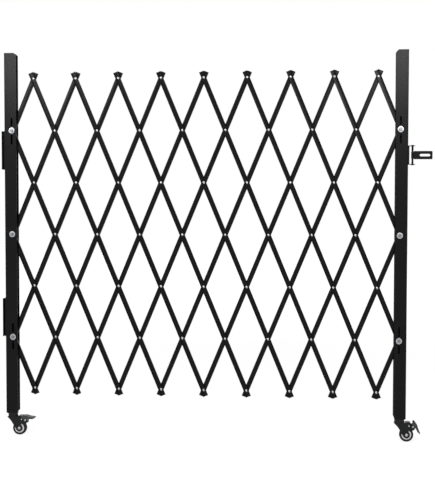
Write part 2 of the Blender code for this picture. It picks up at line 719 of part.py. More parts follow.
def brake_mesh():
    """The brake lever about its pivot along Y: pedal, block, cam nose and pivot pin.

    The nose points at the wheel's centre when the pedal is pressed, and just clears the tyre.
    """
    sheet = BRAKE_SHEET
    height = CASTER_HEIGHT
    to_wheel = (CASTER_TRAIL - BRAKE_PIVOT_X, WHEEL_RADIUS - BRAKE_PIVOT_Z)
    nose_radius = math.hypot(*to_wheel) - WHEEL_RADIUS - 2 * CLEARANCE
    nose_deg = math.degrees(math.atan2(to_wheel[1], to_wheel[0])) + BRAKE_PRESS_DEG
    eye = BRAKE_EYE_SHARE * height
    root = BRAKE_ROOT_HALF_DEG
    eye_front = arc((0, 0), eye, BRAKE_EYE_TOP_DEG, nose_deg + root, 1)
    nose = arc(
        (0, 0), nose_radius, nose_deg + BRAKE_NOSE_HALF_DEG, nose_deg - BRAKE_NOSE_HALF_DEG, 2
    )
    eye_back = arc((0, 0), eye, nose_deg - root, -180, 2)
    top = [(reach * height, rise * height) for reach, rise in BRAKE_TOP_SHARES]
    heel, saddle, _, bend, slope, toe, tip = top
    web_back = -BRAKE_WEB_BACK_SHARE * height
    outline = [
        *top,
        (tip[0], tip[1] - sheet),
        (toe[0], toe[1] - sheet),
        (slope[0] - sheet / 2, slope[1] - sheet),
        (BRAKE_WEB_REACH_SHARE * height, bend[1] - 2 * sheet),
        *eye_front,
        *nose,
        *eye_back,
        (web_back, saddle[1] - 3 * sheet),
        (web_back, saddle[1] - sheet),
        (heel[0], heel[1] - sheet),
    ]
    lever = moved(extruded("brake", [outline], FORK_GAP - 2 * CLEARANCE), (0, 0, 0), TO_Y)
    pin_length = FORK_GAP + 2 * FORK_WALL + 2 * sheet
    pin = moved(cylinder("brake_pin", BRAKE_PIN_RADIUS, pin_length, SHANK_SIDES), (0, 0, 0), TO_Y)
    return combined("caster_brake", lever, [("UNION", pin)])


def leaf_mesh(is_wall_side):
    """A hinge leaf about the pin axis; the wall leaf has the outer knuckles and screw holes."""
    third = HINGE_HEIGHT / 3
    half = HINGE_HEIGHT / 2
    free = -(BARREL_Y + POST_DEPTH / 2 - LEAF_FRONT_INSET)
    notch = -(KNUCKLE_RADIUS + CLEARANCE)
    inner = third / 2 - CLEARANCE / 2
    outer = third / 2 + CLEARANCE / 2
    if is_wall_side:
        edge = [(0, -half), (0, -outer), (notch, -outer), (notch, outer), (0, outer), (0, half)]
    else:
        edge = [
            (notch, -half),
            (notch, -inner),
            (0, -inner),
            (0, inner),
            (notch, inner),
            (notch, half),
        ]
    outline = edge + [(free, half), (free, -half)]
    outlines = [outline]
    if is_wall_side:
        for share in SCREW_HOLE_SHARES:
            centre = ((free + notch) / 2, HINGE_HEIGHT * share)
            ring = arc(centre, SCREW_HOLE_RADIUS, 0, 360, SCREW_SIDES)[:-1]
            outlines.append(ring[::-1])
    # the outline's X runs along world Y and its Y along world Z
    stand = Matrix(((0, 0, 1, 0), (1, 0, 0, 0), (0, 1, 0, 0), (0, 0, 0, 1)))
    side = -1 if is_wall_side else 1
    plate = moved(
        extruded("leaf", outlines, LEAF_WALL), (side * (KNUCKLE_RADIUS - LEAF_WALL / 2), 0, 0), stand
    )
    knuckles = []
    if is_wall_side:
        length = half - outer
        for up in (-1, 1):
            knuckle = cylinder("knuckle", KNUCKLE_RADIUS, length, KNUCKLE_SIDES)
            knuckles.append(moved(knuckle, (0, 0, up * (half + outer) / 2)))
    else:
        knuckles.append(cylinder("knuckle", KNUCKLE_RADIUS, 2 * inner, KNUCKLE_SIDES))
    bore = cylinder("bore", HINGE_PIN_RADIUS + 2 * CLEARANCE, 2 * HINGE_HEIGHT, KNUCKLE_SIDES)
    tools = [("UNION", gathered("knuckles", knuckles)), ("DIFFERENCE", bore)]
    return combined("hinge_leaf", plate, tools)


def pin_mesh(name, radius, length, head_radius, head_height, has_tail):
    """A pin along Z, centred, with a head on top and, if asked, a riveted tail below."""
    half = length / 2
    profile = [
        (0, half + head_height),
        (head_radius * HEAD_FLAT_SHARE, half + head_height),
        (head_radius, half + head_height / 2),
        (head_radius, half),
        (radius, half),
    ]
    if has_tail:
        profile += [(r, -z) for r, z in reversed(profile)]
    else:
        profile += [(radius, -half), (0, -half)]
    return turned(name, profile, KNUCKLE_SIDES)


def bracket_mesh():
    """The latch bracket about the hasp's pin axis: web on the post and two drilled ears."""
    back = -HASP_PIN_OFFSET + CLEARANCE
    front = back + EAR_REACH
    half = BRACKET_HEIGHT / 2
    web = back + BRACKET_WEB
    ear = half - BRACKET_EAR
    outline = [
        (back, -half),
        (front, -half),
        (front, -ear),
        (web, -ear),
        (web, ear),
        (front, ear),
        (front, half),
        (back, half),
    ]
    body = moved(extruded("bracket", [outline], BRACKET_WIDTH), (0, 0, 0), TO_Y)
    hole = cylinder("hole", HASP_PIN_RADIUS + 2 * CLEARANCE, 2 * BRACKET_HEIGHT, KNUCKLE_SIDES)
    cut = BRACKET_WIDTH / 3
    trims = []
    for side in (-1, 1):
        wedge = [
            (front - cut, side * BRACKET_WIDTH),
            (front + OVERRUN, side * BRACKET_WIDTH / 6),
            (front + cut, side * BRACKET_WIDTH),
        ]
        trims.append(extruded("trim", [wedge], 2 * BRACKET_HEIGHT))
    cuts = gathered("cuts", [hole] + trims)
    return combined("latch_bracket", body, [("DIFFERENCE", cuts)])


def hasp_mesh():
    """The hasp about its pin axis: slotted plate with a rolled eye, the plate in X and Z."""
    half = HASP_HEIGHT / 2
    eye_half = HASP_EYE_HEIGHT / 2
    tip = HASP_REACH
    corner = HASP_CORNER
    outline = [
        (0, -eye_half),
        (HASP_EYE_RADIUS, -eye_half),
        (HASP_NECK_REACH, -half),
        (tip - corner, -half),
        (tip, -half + corner),
        (tip, half - corner),
        (tip - corner, half),
        (HASP_NECK_REACH, half),
        (HASP_EYE_RADIUS, eye_half),
        (0, eye_half),
    ]
    slot_middle = tip - HASP_SLOT_END - HASP_SLOT_LENGTH / 2
    slot = [
        (slot_middle + y, x) for x, y in slot_outline(HASP_SLOT_LENGTH, HASP_SLOT_WIDTH, 5)
    ]
    plate = moved(extruded("hasp", [outline, slot], HASP_SHEET), (0, 0, 0), TO_Y)
    eye = cylinder("eye", HASP_EYE_RADIUS, HASP_EYE_HEIGHT, KNUCKLE_SIDES)
    bore = cylinder("bore", HASP_PIN_RADIUS + CLEARANCE, 2 * HASP_HEIGHT, KNUCKLE_SIDES)
    return combined("latch_hasp", plate, [("UNION", eye), ("DIFFERENCE", bore)])


def pivots_of(link_kind, sum_or_difference):
    """The (column, row) of each pivot along a link, from its bottom end up."""
    found = []
    for row in range(ROWS, -1, -1):
        if link_kind == "front":
            column = sum_or_difference + row
        else:
            column = sum_or_difference - row
        if 0 <= column <= COLUMNS:
            found.append((column, row))
    return found


def pivot_point(column, row):
    """A pivot's place at rest."""
    return Vector((PIN_LINE_X + column * COLUMN_STEP, 0, MIDDLE_Z + (MIDDLE_ROW - row) * ROW_STEP))


def is_post_pivot(pivot):
    return pivot[0] in (0, COLUMNS)


# Each link as (kind, column minus row or column plus row), numbered from the left
FRONT_LINKS = {
    f"front_link_{number + 1:02d}": ("front", 2 * number - ROWS + 1) for number in range(12)
}
REAR_LINKS = {f"rear_link_{number + 1:02d}": ("rear", 2 * number + 1) for number in range(12)}
LINKS = {**FRONT_LINKS, **REAR_LINKS}

# The tree of pivots that carries the lattice: piece, what carries it, and the shared pivot
TREE = [
    ("rear_link_02", "left_post", (0, 3)),
    ("front_link_02", "left_post", (0, 3)),
    ("front_link_03", "rear_link_02", (1, 2)),
    ("front_link_04", "rear_link_02", (2, 1)),
    ("front_link_05", "rear_link_02", (3, 0)),
    ("rear_link_03", "front_link_02", (1, 4)),
    ("rear_link_04", "front_link_02", (2, 5)),
    ("rear_link_05", "front_link_02", (3, 6)),
    ("rear_link_01", "front_link_04", (1, 0)),
    ("front_link_01", "rear_link_04", (1, 6)),
    ("rear_link_06", "front_link_05", (7, 4)),
    ("rear_link_07", "front_link_05", (8, 5)),
    ("rear_link_08", "front_link_05", (9, 6)),
    ("front_link_06", "rear_link_05", (7, 2)),
    ("front_link_07", "rear_link_05", (8, 1)),
    ("front_link_08", "rear_link_08", (12, 3)),
    ("front_link_09", "rear_link_08", (13, 2)),
    ("front_link_10", "rear_link_08", (14, 1)),
    ("front_link_11", "rear_link_08", (15, 0)),
    ("rear_link_09", "front_link_11", (16, 1)),
    ("rear_link_10", "front_link_11", (17, 2)),
    ("rear_link_11", "front_link_11", (18, 3)),
    ("front_link_12", "rear_link_09", (17, 0)),
    ("rear_link_12", "front_link_09", (17, 6)),
    ("right_post", "front_link_11", (18, 3)),
]

# Which piece each post bolt goes with: round holes hold the middle bolts, slots the others
BOLTS = {
    "left_upper": ((0, 1), "front_link_03"),
    "left_middle": ((0, 3), "left_post"),
    "left_lower": ((0, 5), "front_link_01"),
    "right_upper": ((18, 1), "front_link_12"),
    "right_middle": ((18, 3), "right_post"),
    "right_lower": ((18, 5), "front_link_10"),
}


def tilt_of(name):
    """A body's angle about +Y at rest: front links lean left, rear links right."""
    if name.endswith("post"):
        return 0.0
    return -FOLD_REST if name.startswith("front") else FOLD_REST


def local_place(name, carrier, pivot, carrier_pivot):
    """A pivot's place and a piece's turn as its carrier sees them."""
    gap = pivot_point(*pivot) - pivot_point(*carrier_pivot)
    unturn = Matrix.Rotation(-tilt_of(carrier), 3, "Y")
    return unturn @ gap, (0, tilt_of(name) - tilt_of(carrier), 0)


def build_lattice(left_axis):
    """Every link on an empty at the pivot that carries it, and the right post's empty."""
    axes = {"left_post": left_axis}
    held_at = {"left_post": (0, MIDDLE_ROW)}
    shared = {}
    for name, carrier, pivot in TREE:
        location, rotation = local_place(name, carrier, pivot, held_at[carrier])
        empty = axis_empty(f"{name}_axis", axes[carrier], location, rotation)
        axes[name] = empty
        held_at[name] = pivot
        if name not in LINKS:
            continue
        kind, number = LINKS[name]
        pivots = pivots_of(kind, number)
        pattern = (kind, tuple("bolt" if is_post_pivot(p) else "rivet" for p in pivots))
        if pattern not in shared:
            shared[pattern] = link_mesh(f"{kind}_link", pattern[1], kind == "front")
        below = pivots.index(pivot) * LINK_PITCH
        place(name, shared[pattern], BLACK_PAINT, empty, (0, 0, -below))
    return axes, held_at


def build_posts(axes):
    """Both posts, open towards each other, with their slots in front."""
    place("left_post", post_mesh(-1), BLACK_PAINT, axes["left_post"])
    right = post_mesh(1)
    place("right_post", right, BLACK_PAINT, axes["right_post"], rotation=(0, 0, math.pi))


def build_bolts(axes, held_at):
    """A bolt and a nut at each post pivot."""
    fixed = (bolt_mesh(False), nut_mesh(False))
    sliding = (bolt_mesh(True), nut_mesh(True))
    for name, (pivot, carrier) in BOLTS.items():
        location, _ = local_place(carrier, carrier, pivot, held_at[carrier])
        bolt, nut = sliding if carrier in LINKS else fixed
        place(f"{name}_bolt", bolt, ZINC, axes[carrier], location)
        place(f"{name}_nut", nut, ZINC, axes[carrier], location)


def build_casters(axes):
    """A braked swivel caster under each post; the right one's brake is pressed."""
    meshes = {
        "plate": (caster_plate_mesh(), BLACK_PAINT),
        "fork": (fork_mesh(), BLACK_PAINT),
        "wheel": (wheel_mesh(), WHEEL_PLASTIC),
        "tyre": (tyre_mesh(), TREAD_RUBBER),
        "axle": (axle_mesh(), ZINC),
        "brake": (brake_mesh(), BRAKE_STEEL),
    }
    for mesh, _ in meshes.values():
        shade(mesh)
    on_axle = (math.radians(90), 0, 0)
    middle = POST_WIDTH / 2 - PIN_INSET
    for side, centre, press in (("left", middle, 0), ("right", -middle, BRAKE_PRESS_DEG)):
        drop = (centre, 0, -POST_LENGTH / 2 - CASTER_HEIGHT)
        foot = axis_empty(f"{side}_caster_swivel_axis", axes[f"{side}_post"], drop)
        axle = (CASTER_TRAIL, 0, WHEEL_RADIUS)
        wheel = axis_empty(f"{side}_caster_wheel_axis", foot, axle, on_axle)
        turn = (0, math.radians(press), 0)
        pivot = (BRAKE_PIVOT_X, 0, BRAKE_PIVOT_Z)
        brake = axis_empty(f"{side}_caster_brake_axis", foot, pivot, turn)
        turning = {"wheel": wheel, "tyre": wheel, "axle": wheel, "brake": brake}
        for piece, (mesh, look) in meshes.items():
            place(f"{side}_caster_{piece}", mesh, look, turning.get(piece, foot))


def build_hinges(swing_axis):
    """The upper and lower wall hinge, closed, on one pin line behind the left post."""
    wall_leaf, post_leaf = leaf_mesh(True), leaf_mesh(False)
    pin = pin_mesh(
        "hinge_pin", HINGE_PIN_RADIUS, HINGE_HEIGHT + 2 * CLEARANCE,
        HINGE_PIN_HEAD_RADIUS, HINGE_PIN_HEAD_HEIGHT, False,
    )
    shade(pin)
    for level, height in (("upper", HINGE_OFFSET), ("lower", -HINGE_OFFSET)):
        spot = (0, 0, height)
        place(f"{level}_hinge_wall_leaf", wall_leaf, BLACK_PAINT, swing_axis, spot)
        place(f"{level}_hinge_post_leaf", post_leaf, BLACK_PAINT, swing_axis, spot)
        place(f"{level}_hinge_pin", pin, ZINC, swing_axis, spot)


def build_latch(axes):
    """The hasp on its bracket, on the right post's outer face."""
    spot = (PIN_INSET + HASP_PIN_OFFSET, 0, LATCH_RISE)
    axis = axis_empty("hasp_axis", axes["right_post"], spot)
    pin = pin_mesh(
        "latch_pin", HASP_PIN_RADIUS, BRACKET_HEIGHT + 2 * CLEARANCE,
        HASP_PIN_HEAD_RADIUS, HASP_PIN_HEAD_HEIGHT, True,
    )
    shade(pin)
    place("latch_bracket", bracket_mesh(), BLACK_PAINT, axis)
    place("latch_hasp", hasp_mesh(), BLACK_PAINT, axis)
    place("latch_pin", pin, BLACK_PAINT, axis)


swing = axis_empty("gate_swing_axis", None, (KNUCKLE_RADIUS, BARREL_Y, MIDDLE_Z))
left = axis_empty(
    "left_post_axis", swing, (PIN_LINE_X - KNUCKLE_RADIUS, -BARREL_Y, 0)
)
all_axes, all_pivots = build_lattice(left)
build_posts(all_axes)
build_bolts(all_axes, all_pivots)
build_casters(all_axes)
build_hinges(swing)
build_latch(all_axes)
bpy.context.view_layer.update()
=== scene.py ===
import json
import math

import bmesh
import bpy
import numpy as np
from mathutils import Matrix, Vector


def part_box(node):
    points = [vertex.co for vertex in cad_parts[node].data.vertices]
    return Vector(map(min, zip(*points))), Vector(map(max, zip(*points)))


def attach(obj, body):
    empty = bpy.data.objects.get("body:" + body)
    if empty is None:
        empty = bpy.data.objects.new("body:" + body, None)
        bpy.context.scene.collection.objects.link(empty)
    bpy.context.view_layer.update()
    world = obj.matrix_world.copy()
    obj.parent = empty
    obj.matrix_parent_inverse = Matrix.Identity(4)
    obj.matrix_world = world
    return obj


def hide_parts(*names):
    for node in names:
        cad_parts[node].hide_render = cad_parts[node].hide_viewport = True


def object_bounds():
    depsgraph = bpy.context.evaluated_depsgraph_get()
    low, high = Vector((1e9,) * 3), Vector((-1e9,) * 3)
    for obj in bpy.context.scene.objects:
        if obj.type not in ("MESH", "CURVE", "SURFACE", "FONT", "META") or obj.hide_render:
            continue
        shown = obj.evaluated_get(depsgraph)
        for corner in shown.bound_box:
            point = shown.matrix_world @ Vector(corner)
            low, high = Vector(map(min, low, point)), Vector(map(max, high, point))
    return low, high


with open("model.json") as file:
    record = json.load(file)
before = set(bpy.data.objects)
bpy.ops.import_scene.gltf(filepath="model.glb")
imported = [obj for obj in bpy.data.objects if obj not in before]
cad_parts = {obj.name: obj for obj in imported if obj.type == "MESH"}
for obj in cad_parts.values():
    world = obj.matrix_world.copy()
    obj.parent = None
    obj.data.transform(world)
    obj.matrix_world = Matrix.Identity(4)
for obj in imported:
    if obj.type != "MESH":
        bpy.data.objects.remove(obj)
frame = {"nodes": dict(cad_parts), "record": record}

cadLow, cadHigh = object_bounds()
nodes = frame["nodes"]
bodyOf = {node: body for body, held in frame["record"]["behaviour"]["bodies"].items() for node in held}
mm = 0.001                      # sizes below are real millimetres times this, or metres
print("frame loaded:", len(nodes), "nodes")


# camera, at the place the photo was taken from
cameraPlan = {
    "place": (1.168, -4.09, 0.460),     # metres, in front of the gate and a little right of its middle
    "yaw": -4.31,                       # degrees, turned to the left
    "pitch": -2.47,                     # degrees, looking slightly down
    "roll": 0.085,
    "lens": 86.2, "sensor": 36.0,       # mm, the sensor across the picture's width
    "sight": 40.0,                      # how far it sees, in metres
}


def makeCamera(plan):
    yaw, pitch, roll = (math.radians(plan[turn]) for turn in ("yaw", "pitch", "roll"))
    ahead = Vector((math.sin(yaw) * math.cos(pitch), math.cos(yaw) * math.cos(pitch), math.sin(pitch)))
    data = bpy.data.cameras.new("photoCamera")
    data.sensor_fit = "HORIZONTAL"
    data.sensor_width = plan["sensor"]
    data.lens = plan["lens"]
    data.clip_end = plan["sight"]
    camera = bpy.data.objects.new("photoCamera", data)
    turn = ahead.to_track_quat("-Z", "Y").to_matrix() @ Matrix.Rotation(roll, 3, "Z")
    camera.rotation_euler = turn.to_euler()
    camera.location = plan["place"]
    bpy.context.scene.collection.objects.link(camera)
    bpy.context.scene.camera = camera


makeCamera(cameraPlan)
print("camera set")


# materials
def linear(code):
    # a hex sRGB colour as linear light, opaque
    values = [int(code[k:k + 2], 16) / 255 for k in (1, 3, 5)]
    return tuple(v / 12.92 if v <= 0.04045 else ((v + 0.055) / 1.055) ** 2.4 for v in values) + (1.0,)


def addNode(tree, kind, inputs=None, links=None, **settings):
    # one node with its settings, its inputs' values, and the outputs that feed its other inputs
    node = tree.nodes.new(kind)
    for name, value in settings.items():
        setattr(node, name, value)
    for name, value in (inputs or {}).items():
        node.inputs[name].default_value = value
    for name, source in (links or {}).items():
        tree.links.new(source, node.inputs[name])
    return node


def startMaterial(name, **fixed):
    # a Principled shader with its uniform values set, and the place on the piece in metres
    made = bpy.data.materials.new(name)
    made.use_nodes = True
    tree = made.node_tree
    shader = tree.nodes["Principled BSDF"]
    for socket, value in fixed.items():
        shader.inputs[socket.replace("_", " ")].default_value = value
    place = addNode(tree, "ShaderNodeTexCoord").outputs["Object"]
    return made, tree, shader, place


def finishShader(tree, shader, look, shade, gloss, height):
    # colour and roughness run between the look's two values, by shade and by gloss, and height gives the
    # relief. In the Mix node, 6 and 7 are its two colours and output 2 is what they make
    colour = addNode(tree, "ShaderNodeMix", {6: linear(look["colours"][0]), 7: linear(look["colours"][1])},
                     {0: shade}, data_type="RGBA")
    rough = addNode(tree, "ShaderNodeMapRange", {"To Min": look["rough"][0], "To Max": look["rough"][1]},
                    {"Value": gloss})
    bump = addNode(tree, "ShaderNodeBump", {"Strength": look["relief"][0], "Distance": look["relief"][1]},
                   {"Height": height})
    tree.links.new(colour.outputs[2], shader.inputs["Base Color"])
    tree.links.new(rough.outputs[0], shader.inputs["Roughness"])
    tree.links.new(bump.outputs[0], shader.inputs["Normal"])


paintLook = {
    "colours": ("#080808", "#0f0f10"),
    "cloud": 60 * mm,              # soft patches where the coat is thicker
    "peel": 2.2 * mm,              # orange peel, real about 1.5 mm and drawn coarser to show
    "speck": 0.45 * mm,            # grain of the cured powder
    "speckShare": 0.25,            # its height against the peel's
    "relief": (0.6, 0.06 * mm),    # strength and height
    "rough": (0.22, 0.31),
    "specular": 0.10,
}


def powderCoatedSteel(look):
    # sheet steel, powder coated and baked: deep satin black, orange peel that breaks up the sheen
    made, tree, shader, place = startMaterial("powderCoatedSteel", Specular_IOR_Level=look["specular"])
    cloud = addNode(tree, "ShaderNodeTexNoise", {"Scale": 1 / look["cloud"], "Detail": 3.0},
                    {"Vector": place})
    peel = addNode(tree, "ShaderNodeTexNoise", {"Scale": 1 / look["peel"], "Detail": 1.5},
                   {"Vector": place})
    speck = addNode(tree, "ShaderNodeTexNoise", {"Scale": 1 / look["speck"], "Detail": 2.0},
                    {"Vector": place})
    grain = addNode(tree, "ShaderNodeMath", {1: look["speckShare"]}, {0: speck.outputs["Fac"]},
                    operation="MULTIPLY")
    height = addNode(tree, "ShaderNodeMath", None, {0: peel.outputs["Fac"], 1: grain.outputs[0]},
                     operation="ADD")
    finishShader(tree, shader, look, cloud.outputs["Fac"], speck.outputs["Fac"], height.outputs[0])
    return made


dipLook = {
    "colours": ("#0f0f10", "#1b1b1d"),
    "cloud": 18 * mm,              # where the paint ran thin or thick
    "ripple": 5 * mm,
    "relief": (0.5, 0.03 * mm),
    "rough": (0.20, 0.34),
    "specular": 0.16,
}


def dippedSteel(look):
    # stamped steel, pickled and dipped in black paint: smoother and glossier than the powder coat
    made, tree, shader, place = startMaterial("dippedStampedSteel", Specular_IOR_Level=look["specular"])
    cloud = addNode(tree, "ShaderNodeTexNoise", {"Scale": 1 / look["cloud"], "Detail": 4.0},
                    {"Vector": place})
    ripple = addNode(tree, "ShaderNodeTexNoise", {"Scale": 1 / look["ripple"], "Detail": 2.0},
                     {"Vector": place})
    finishShader(tree, shader, look, cloud.outputs["Fac"], cloud.outputs["Fac"], ripple.outputs["Fac"])
    return made


zincLook = {
    "colours": ("#bfc1c4", "#858789"),
    "haze": 7 * mm,                # cloudy patches of the clear passivation
    "spangle": 1.6 * mm,
    "relief": (0.5, 0.02 * mm),
    "rough": (0.24, 0.44),
}
headLook = {                       # the hexagon heads, darker than their washers: painted shade on the same zinc
    "colours": ("#8e9093", "#545659"),
    "haze": 4 * mm, "spangle": 1.6 * mm, "relief": (0.5, 0.03 * mm), "rough": (0.22, 0.42),
}
pedalLook = {                      # brake levers, dark and dull, and the spacers inside the posts, darkened as painted shade from the channel round them
    "colours": ("#525355", "#2c2d2f"),
    "haze": 8 * mm, "spangle": 2.5 * mm, "relief": (0.5, 0.03 * mm), "rough": (0.34, 0.52),
}


def platedSteel(name, look):
    # turned or headed steel, barrel plated with zinc: bright, slightly cloudy, dulled by small dings
    made, tree, shader, place = startMaterial(name, Metallic=1.0)
    haze = addNode(tree, "ShaderNodeTexNoise", {"Scale": 1 / look["haze"], "Detail": 4.0, "Roughness": 0.6},
                   {"Vector": place})
    cells = addNode(tree, "ShaderNodeTexVoronoi", {"Scale": 1 / look["spangle"]}, {"Vector": place})
    finishShader(tree, shader, look, haze.outputs["Fac"], haze.outputs["Fac"], cells.outputs["Distance"])
    return made


treadLook = {
    "colours": ("#0b0b0b", "#1c1c1c"),
    "dust": 9 * mm, "grain": 0.9 * mm,
    "relief": (0.6, 0.06 * mm),
    "rough": (0.62, 0.85),
    "specular": 0.25,
}


def mouldedRubber(look):
    # tread rubber pressed in a mould: matt black with a fine grain and greyer, dusty patches
    made, tree, shader, place = startMaterial("mouldedRubber", Specular_IOR_Level=look["specular"])
    dust = addNode(tree, "ShaderNodeTexNoise", {"Scale": 1 / look["dust"], "Detail": 5.0},
                   {"Vector": place})
    grain = addNode(tree, "ShaderNodeTexNoise", {"Scale": 1 / look["grain"], "Detail": 3.0},
                    {"Vector": place})
    finishShader(tree, shader, look, dust.outputs["Fac"], dust.outputs["Fac"], grain.outputs["Fac"])
    return made


rimLook = {
    "colours": ("#e6e7e8", "#d4d5d6"),
    "flow": 14 * mm, "flowBend": 1.5, "grain": 0.7 * mm,
    "relief": (0.4, 0.02 * mm),
    "rough": (0.38, 0.50),
    "milky": (0.05, 2 * mm),       # share of the light that goes in, and how far
}


def mouldedPolypropylene(look):
    # wheel centre injected in light grey polypropylene: soft sheen, faint flow marks
    share, reach = look["milky"]
    made, tree, shader, place = startMaterial("mouldedPolypropylene", Subsurface_Weight=share,
                                              Subsurface_Radius=(reach, reach, reach))
    flow = addNode(tree, "ShaderNodeTexNoise",
                   {"Scale": 1 / look["flow"], "Detail": 2.0, "Distortion": look["flowBend"]},
                   {"Vector": place})
    grain = addNode(tree, "ShaderNodeTexNoise", {"Scale": 1 / look["grain"], "Detail": 2.0},
                    {"Vector": place})
    finishShader(tree, shader, look, flow.outputs["Fac"], flow.outputs["Fac"], grain.outputs["Fac"])
    return made


blackCoat = powderCoatedSteel(paintLook)
blackDip = dippedSteel(dipLook)
brightZinc = platedSteel("zincPlatedSteel", zincLook)
# the heads' zinc is darker than the washers' as painted shade
headZinc = platedSteel("zincPlatedHeadsShaded", headLook)
# dark dull zinc for the brake levers; on the spacers inside the posts the darkness is painted shade
dullZinc = platedSteel("dullAndShadedPlatedSteel", pedalLook)
treadRubber = mouldedRubber(treadLook)
wheelPlastic = mouldedPolypropylene(rimLook)
print("materials made")


# meshes as grids of points
meshPlan = {
    "weld": 0.002 * mm,            # points nearer than this are merged
    "crease": 38.0,                # degrees past which an edge shows sharp
    "soften": 30.0,                # degrees past which an edge is rounded
    "solidWeld": 0.005 * mm, "solidCrease": 40.0,   # the same two for a copy of a solid
    "solidFlat": 1.0,              # degrees within which a copy's triangles become one face
}


def gridFaces(rows, columns, goesRound=True):
    # each face joins columns c and c + 1 of rows r and r + 1. Where the grid goes round, the last column
    # joins the first
    start = np.arange(rows - 1)[:, None] * columns
    here = np.arange(columns if goesRound else columns - 1)
    after = (here + 1) % columns
    return np.stack([start + here, start + after, start + columns + after, start + columns + here],
                    -1).reshape(-1, 4)


def loft(rings, capped=True):
    # rings of equally many points, joined in order, with a flat face over each end
    count, width = rings.shape[:2]
    faces = [gridFaces(count, width)]
    if capped:
        first = np.arange(width)
        faces.append(np.stack([first[::-1], first + (count - 1) * width]))
    return rings.reshape(-1, 3), faces


def turned(profile, steps):
    # the point (radius, height) at angle a goes to (radius cos a, radius sin a, height)
    radius, height = np.asarray(profile, float).T
    angle = np.arange(steps) / steps * 2 * math.pi
    return np.stack([
        radius[:, None] * np.cos(angle),
        radius[:, None] * np.sin(angle),
        np.repeat(height[:, None], steps, 1),
    ], -1)


def hoop(outline, steps):
    # a closed outline of (radius, height) turned about Z
    return loft(turned(np.concatenate([outline, outline[:1]]), steps), capped=False)


def spindle(half, steps):
    # the upper half of a profile and its mirror image, (radius, -height), turned about Z
    return loft(turned(np.concatenate([half, half[::-1] * (1, -1)]), steps))


def dome(radius, seat, height, start=0.15, points=7, powers=(1.0, 1.0)):
    # (radius sin(t)^p, seat + height cos(t)^q), with t in radians from near the middle to the rim
    t = np.linspace(start, math.pi / 2, points)
    return np.stack([radius * np.sin(t) ** powers[0], seat + height * np.cos(t) ** powers[1]], 1)


def roundCorners(corners, cuts, steps, closed=True):
    # corner C becomes (1 - t)^2 A + 2 t (1 - t) C + t^2 B, with A and B on its sides at the cut's
    # distance. A cut stays under half of a side, and an open line keeps its two ends
    corners = np.asarray(corners, float)
    back, ahead = np.roll(corners, 1, 0) - corners, np.roll(corners, -1, 0) - corners
    backLength, aheadLength = np.linalg.norm(back, axis=1), np.linalg.norm(ahead, axis=1)
    most = 0.49 * np.minimum(backLength, aheadLength)
    cut = np.minimum(np.broadcast_to(cuts, most.shape), most)
    if not closed:
        cut = cut * (np.arange(len(cut)) % (len(cut) - 1) > 0)
    a = corners + back * (cut / backLength)[:, None]
    b = corners + ahead * (cut / aheadLength)[:, None]
    t = np.linspace(0, 1, steps + 1)[None, :, None]
    curves = (1 - t) ** 2 * a[:, None] + 2 * t * (1 - t) * corners[:, None] + t ** 2 * b[:, None]
    return curves.reshape(-1, 2)


def bow(centre, radius, start, end, steps):
    # points of a circle: centre + radius (cos a, sin a), with a going from start to end in degrees
    a = np.radians(np.linspace(start, end, steps + 1))
    return np.stack([centre[0] + radius * np.cos(a), centre[1] + radius * np.sin(a)], -1)


def slab(outline, low, high):
    # an outline in x and z carried straight along y from low to high
    return loft(np.stack([np.insert(np.asarray(outline, float), 1, y, axis=1) for y in (low, high)]))


def put(shape, origin, across=(1, 0, 0), up=(0, 1, 0), out=(0, 0, 1)):
    # the shape's own X, Y and Z laid along three directions, and its origin moved
    points, faces = shape
    return points @ np.array([across, up, out], float) + np.array(origin, float), faces


def together(shapes):
    # several shapes as one, each one's face numbers raised by the points before it
    starts = np.cumsum([0] + [len(points) for points, _ in shapes[:-1]])
    faces = [block + start for start, (_, blocks) in zip(starts, shapes) for block in blocks]
    return np.concatenate([points for points, _ in shapes]), faces


toFront = {"across": (1, 0, 0), "up": (0, 0, 1), "out": (0, -1, 0)}   # a turned part's end faces the front


def makePiece(name, shape, material, body, stands=(), crease=meshPlan["crease"]):
    # the shape as an object with merged points and outward faces, riding on its body
    points, faces = shape
    mesh = bpy.data.meshes.new(name)
    mesh.from_pydata(points.tolist(), [], [face for block in faces for face in block.tolist()])
    work = bmesh.new()
    work.from_mesh(mesh)
    bmesh.ops.remove_doubles(work, verts=work.verts, dist=meshPlan["weld"])
    bmesh.ops.recalc_face_normals(work, faces=work.faces)
    work.to_mesh(mesh)
    work.free()
    mesh.materials.append(material)
    mesh.shade_smooth()
    mesh.set_sharp_from_angle(angle=math.radians(crease))
    piece = bpy.data.objects.new(name, mesh)
    bpy.context.scene.collection.objects.link(piece)
    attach(piece, body)
    if stands:
        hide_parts(*stands)
    return piece


def softEdges(piece, width, steps=2, limit=meshPlan["soften"]):
    # every edge sharper than the limit is rounded over the width on each side
    bevel = piece.modifiers.new("softEdges", "BEVEL")
    bevel.width = width
    bevel.segments = steps
    bevel.limit_method = "ANGLE"
    bevel.angle_limit = math.radians(limit)
    bevel.harden_normals = True


def fromSolid(node, width, material):
    # the solid's own mesh, its loose triangles welded into whole faces and its edges rounded
    mesh = nodes[node].data.copy()
    mesh.name = f"{node}_shell"
    work = bmesh.new()
    work.from_mesh(mesh)
    bmesh.ops.remove_doubles(work, verts=work.verts, dist=meshPlan["solidWeld"])
    flat = math.radians(meshPlan["solidFlat"])
    bmesh.ops.dissolve_limit(work, angle_limit=flat, verts=work.verts, edges=work.edges)
    work.to_mesh(mesh)
    work.free()
    mesh.materials.clear()
    mesh.materials.append(material)
    mesh.shade_smooth()
    mesh.set_sharp_from_angle(angle=math.radians(meshPlan["solidCrease"]))
    piece = bpy.data.objects.new(f"{node}_shell", mesh)
    bpy.context.scene.collection.objects.link(piece)
    softEdges(piece, width)
    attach(piece, bodyOf[node])
    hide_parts(node)


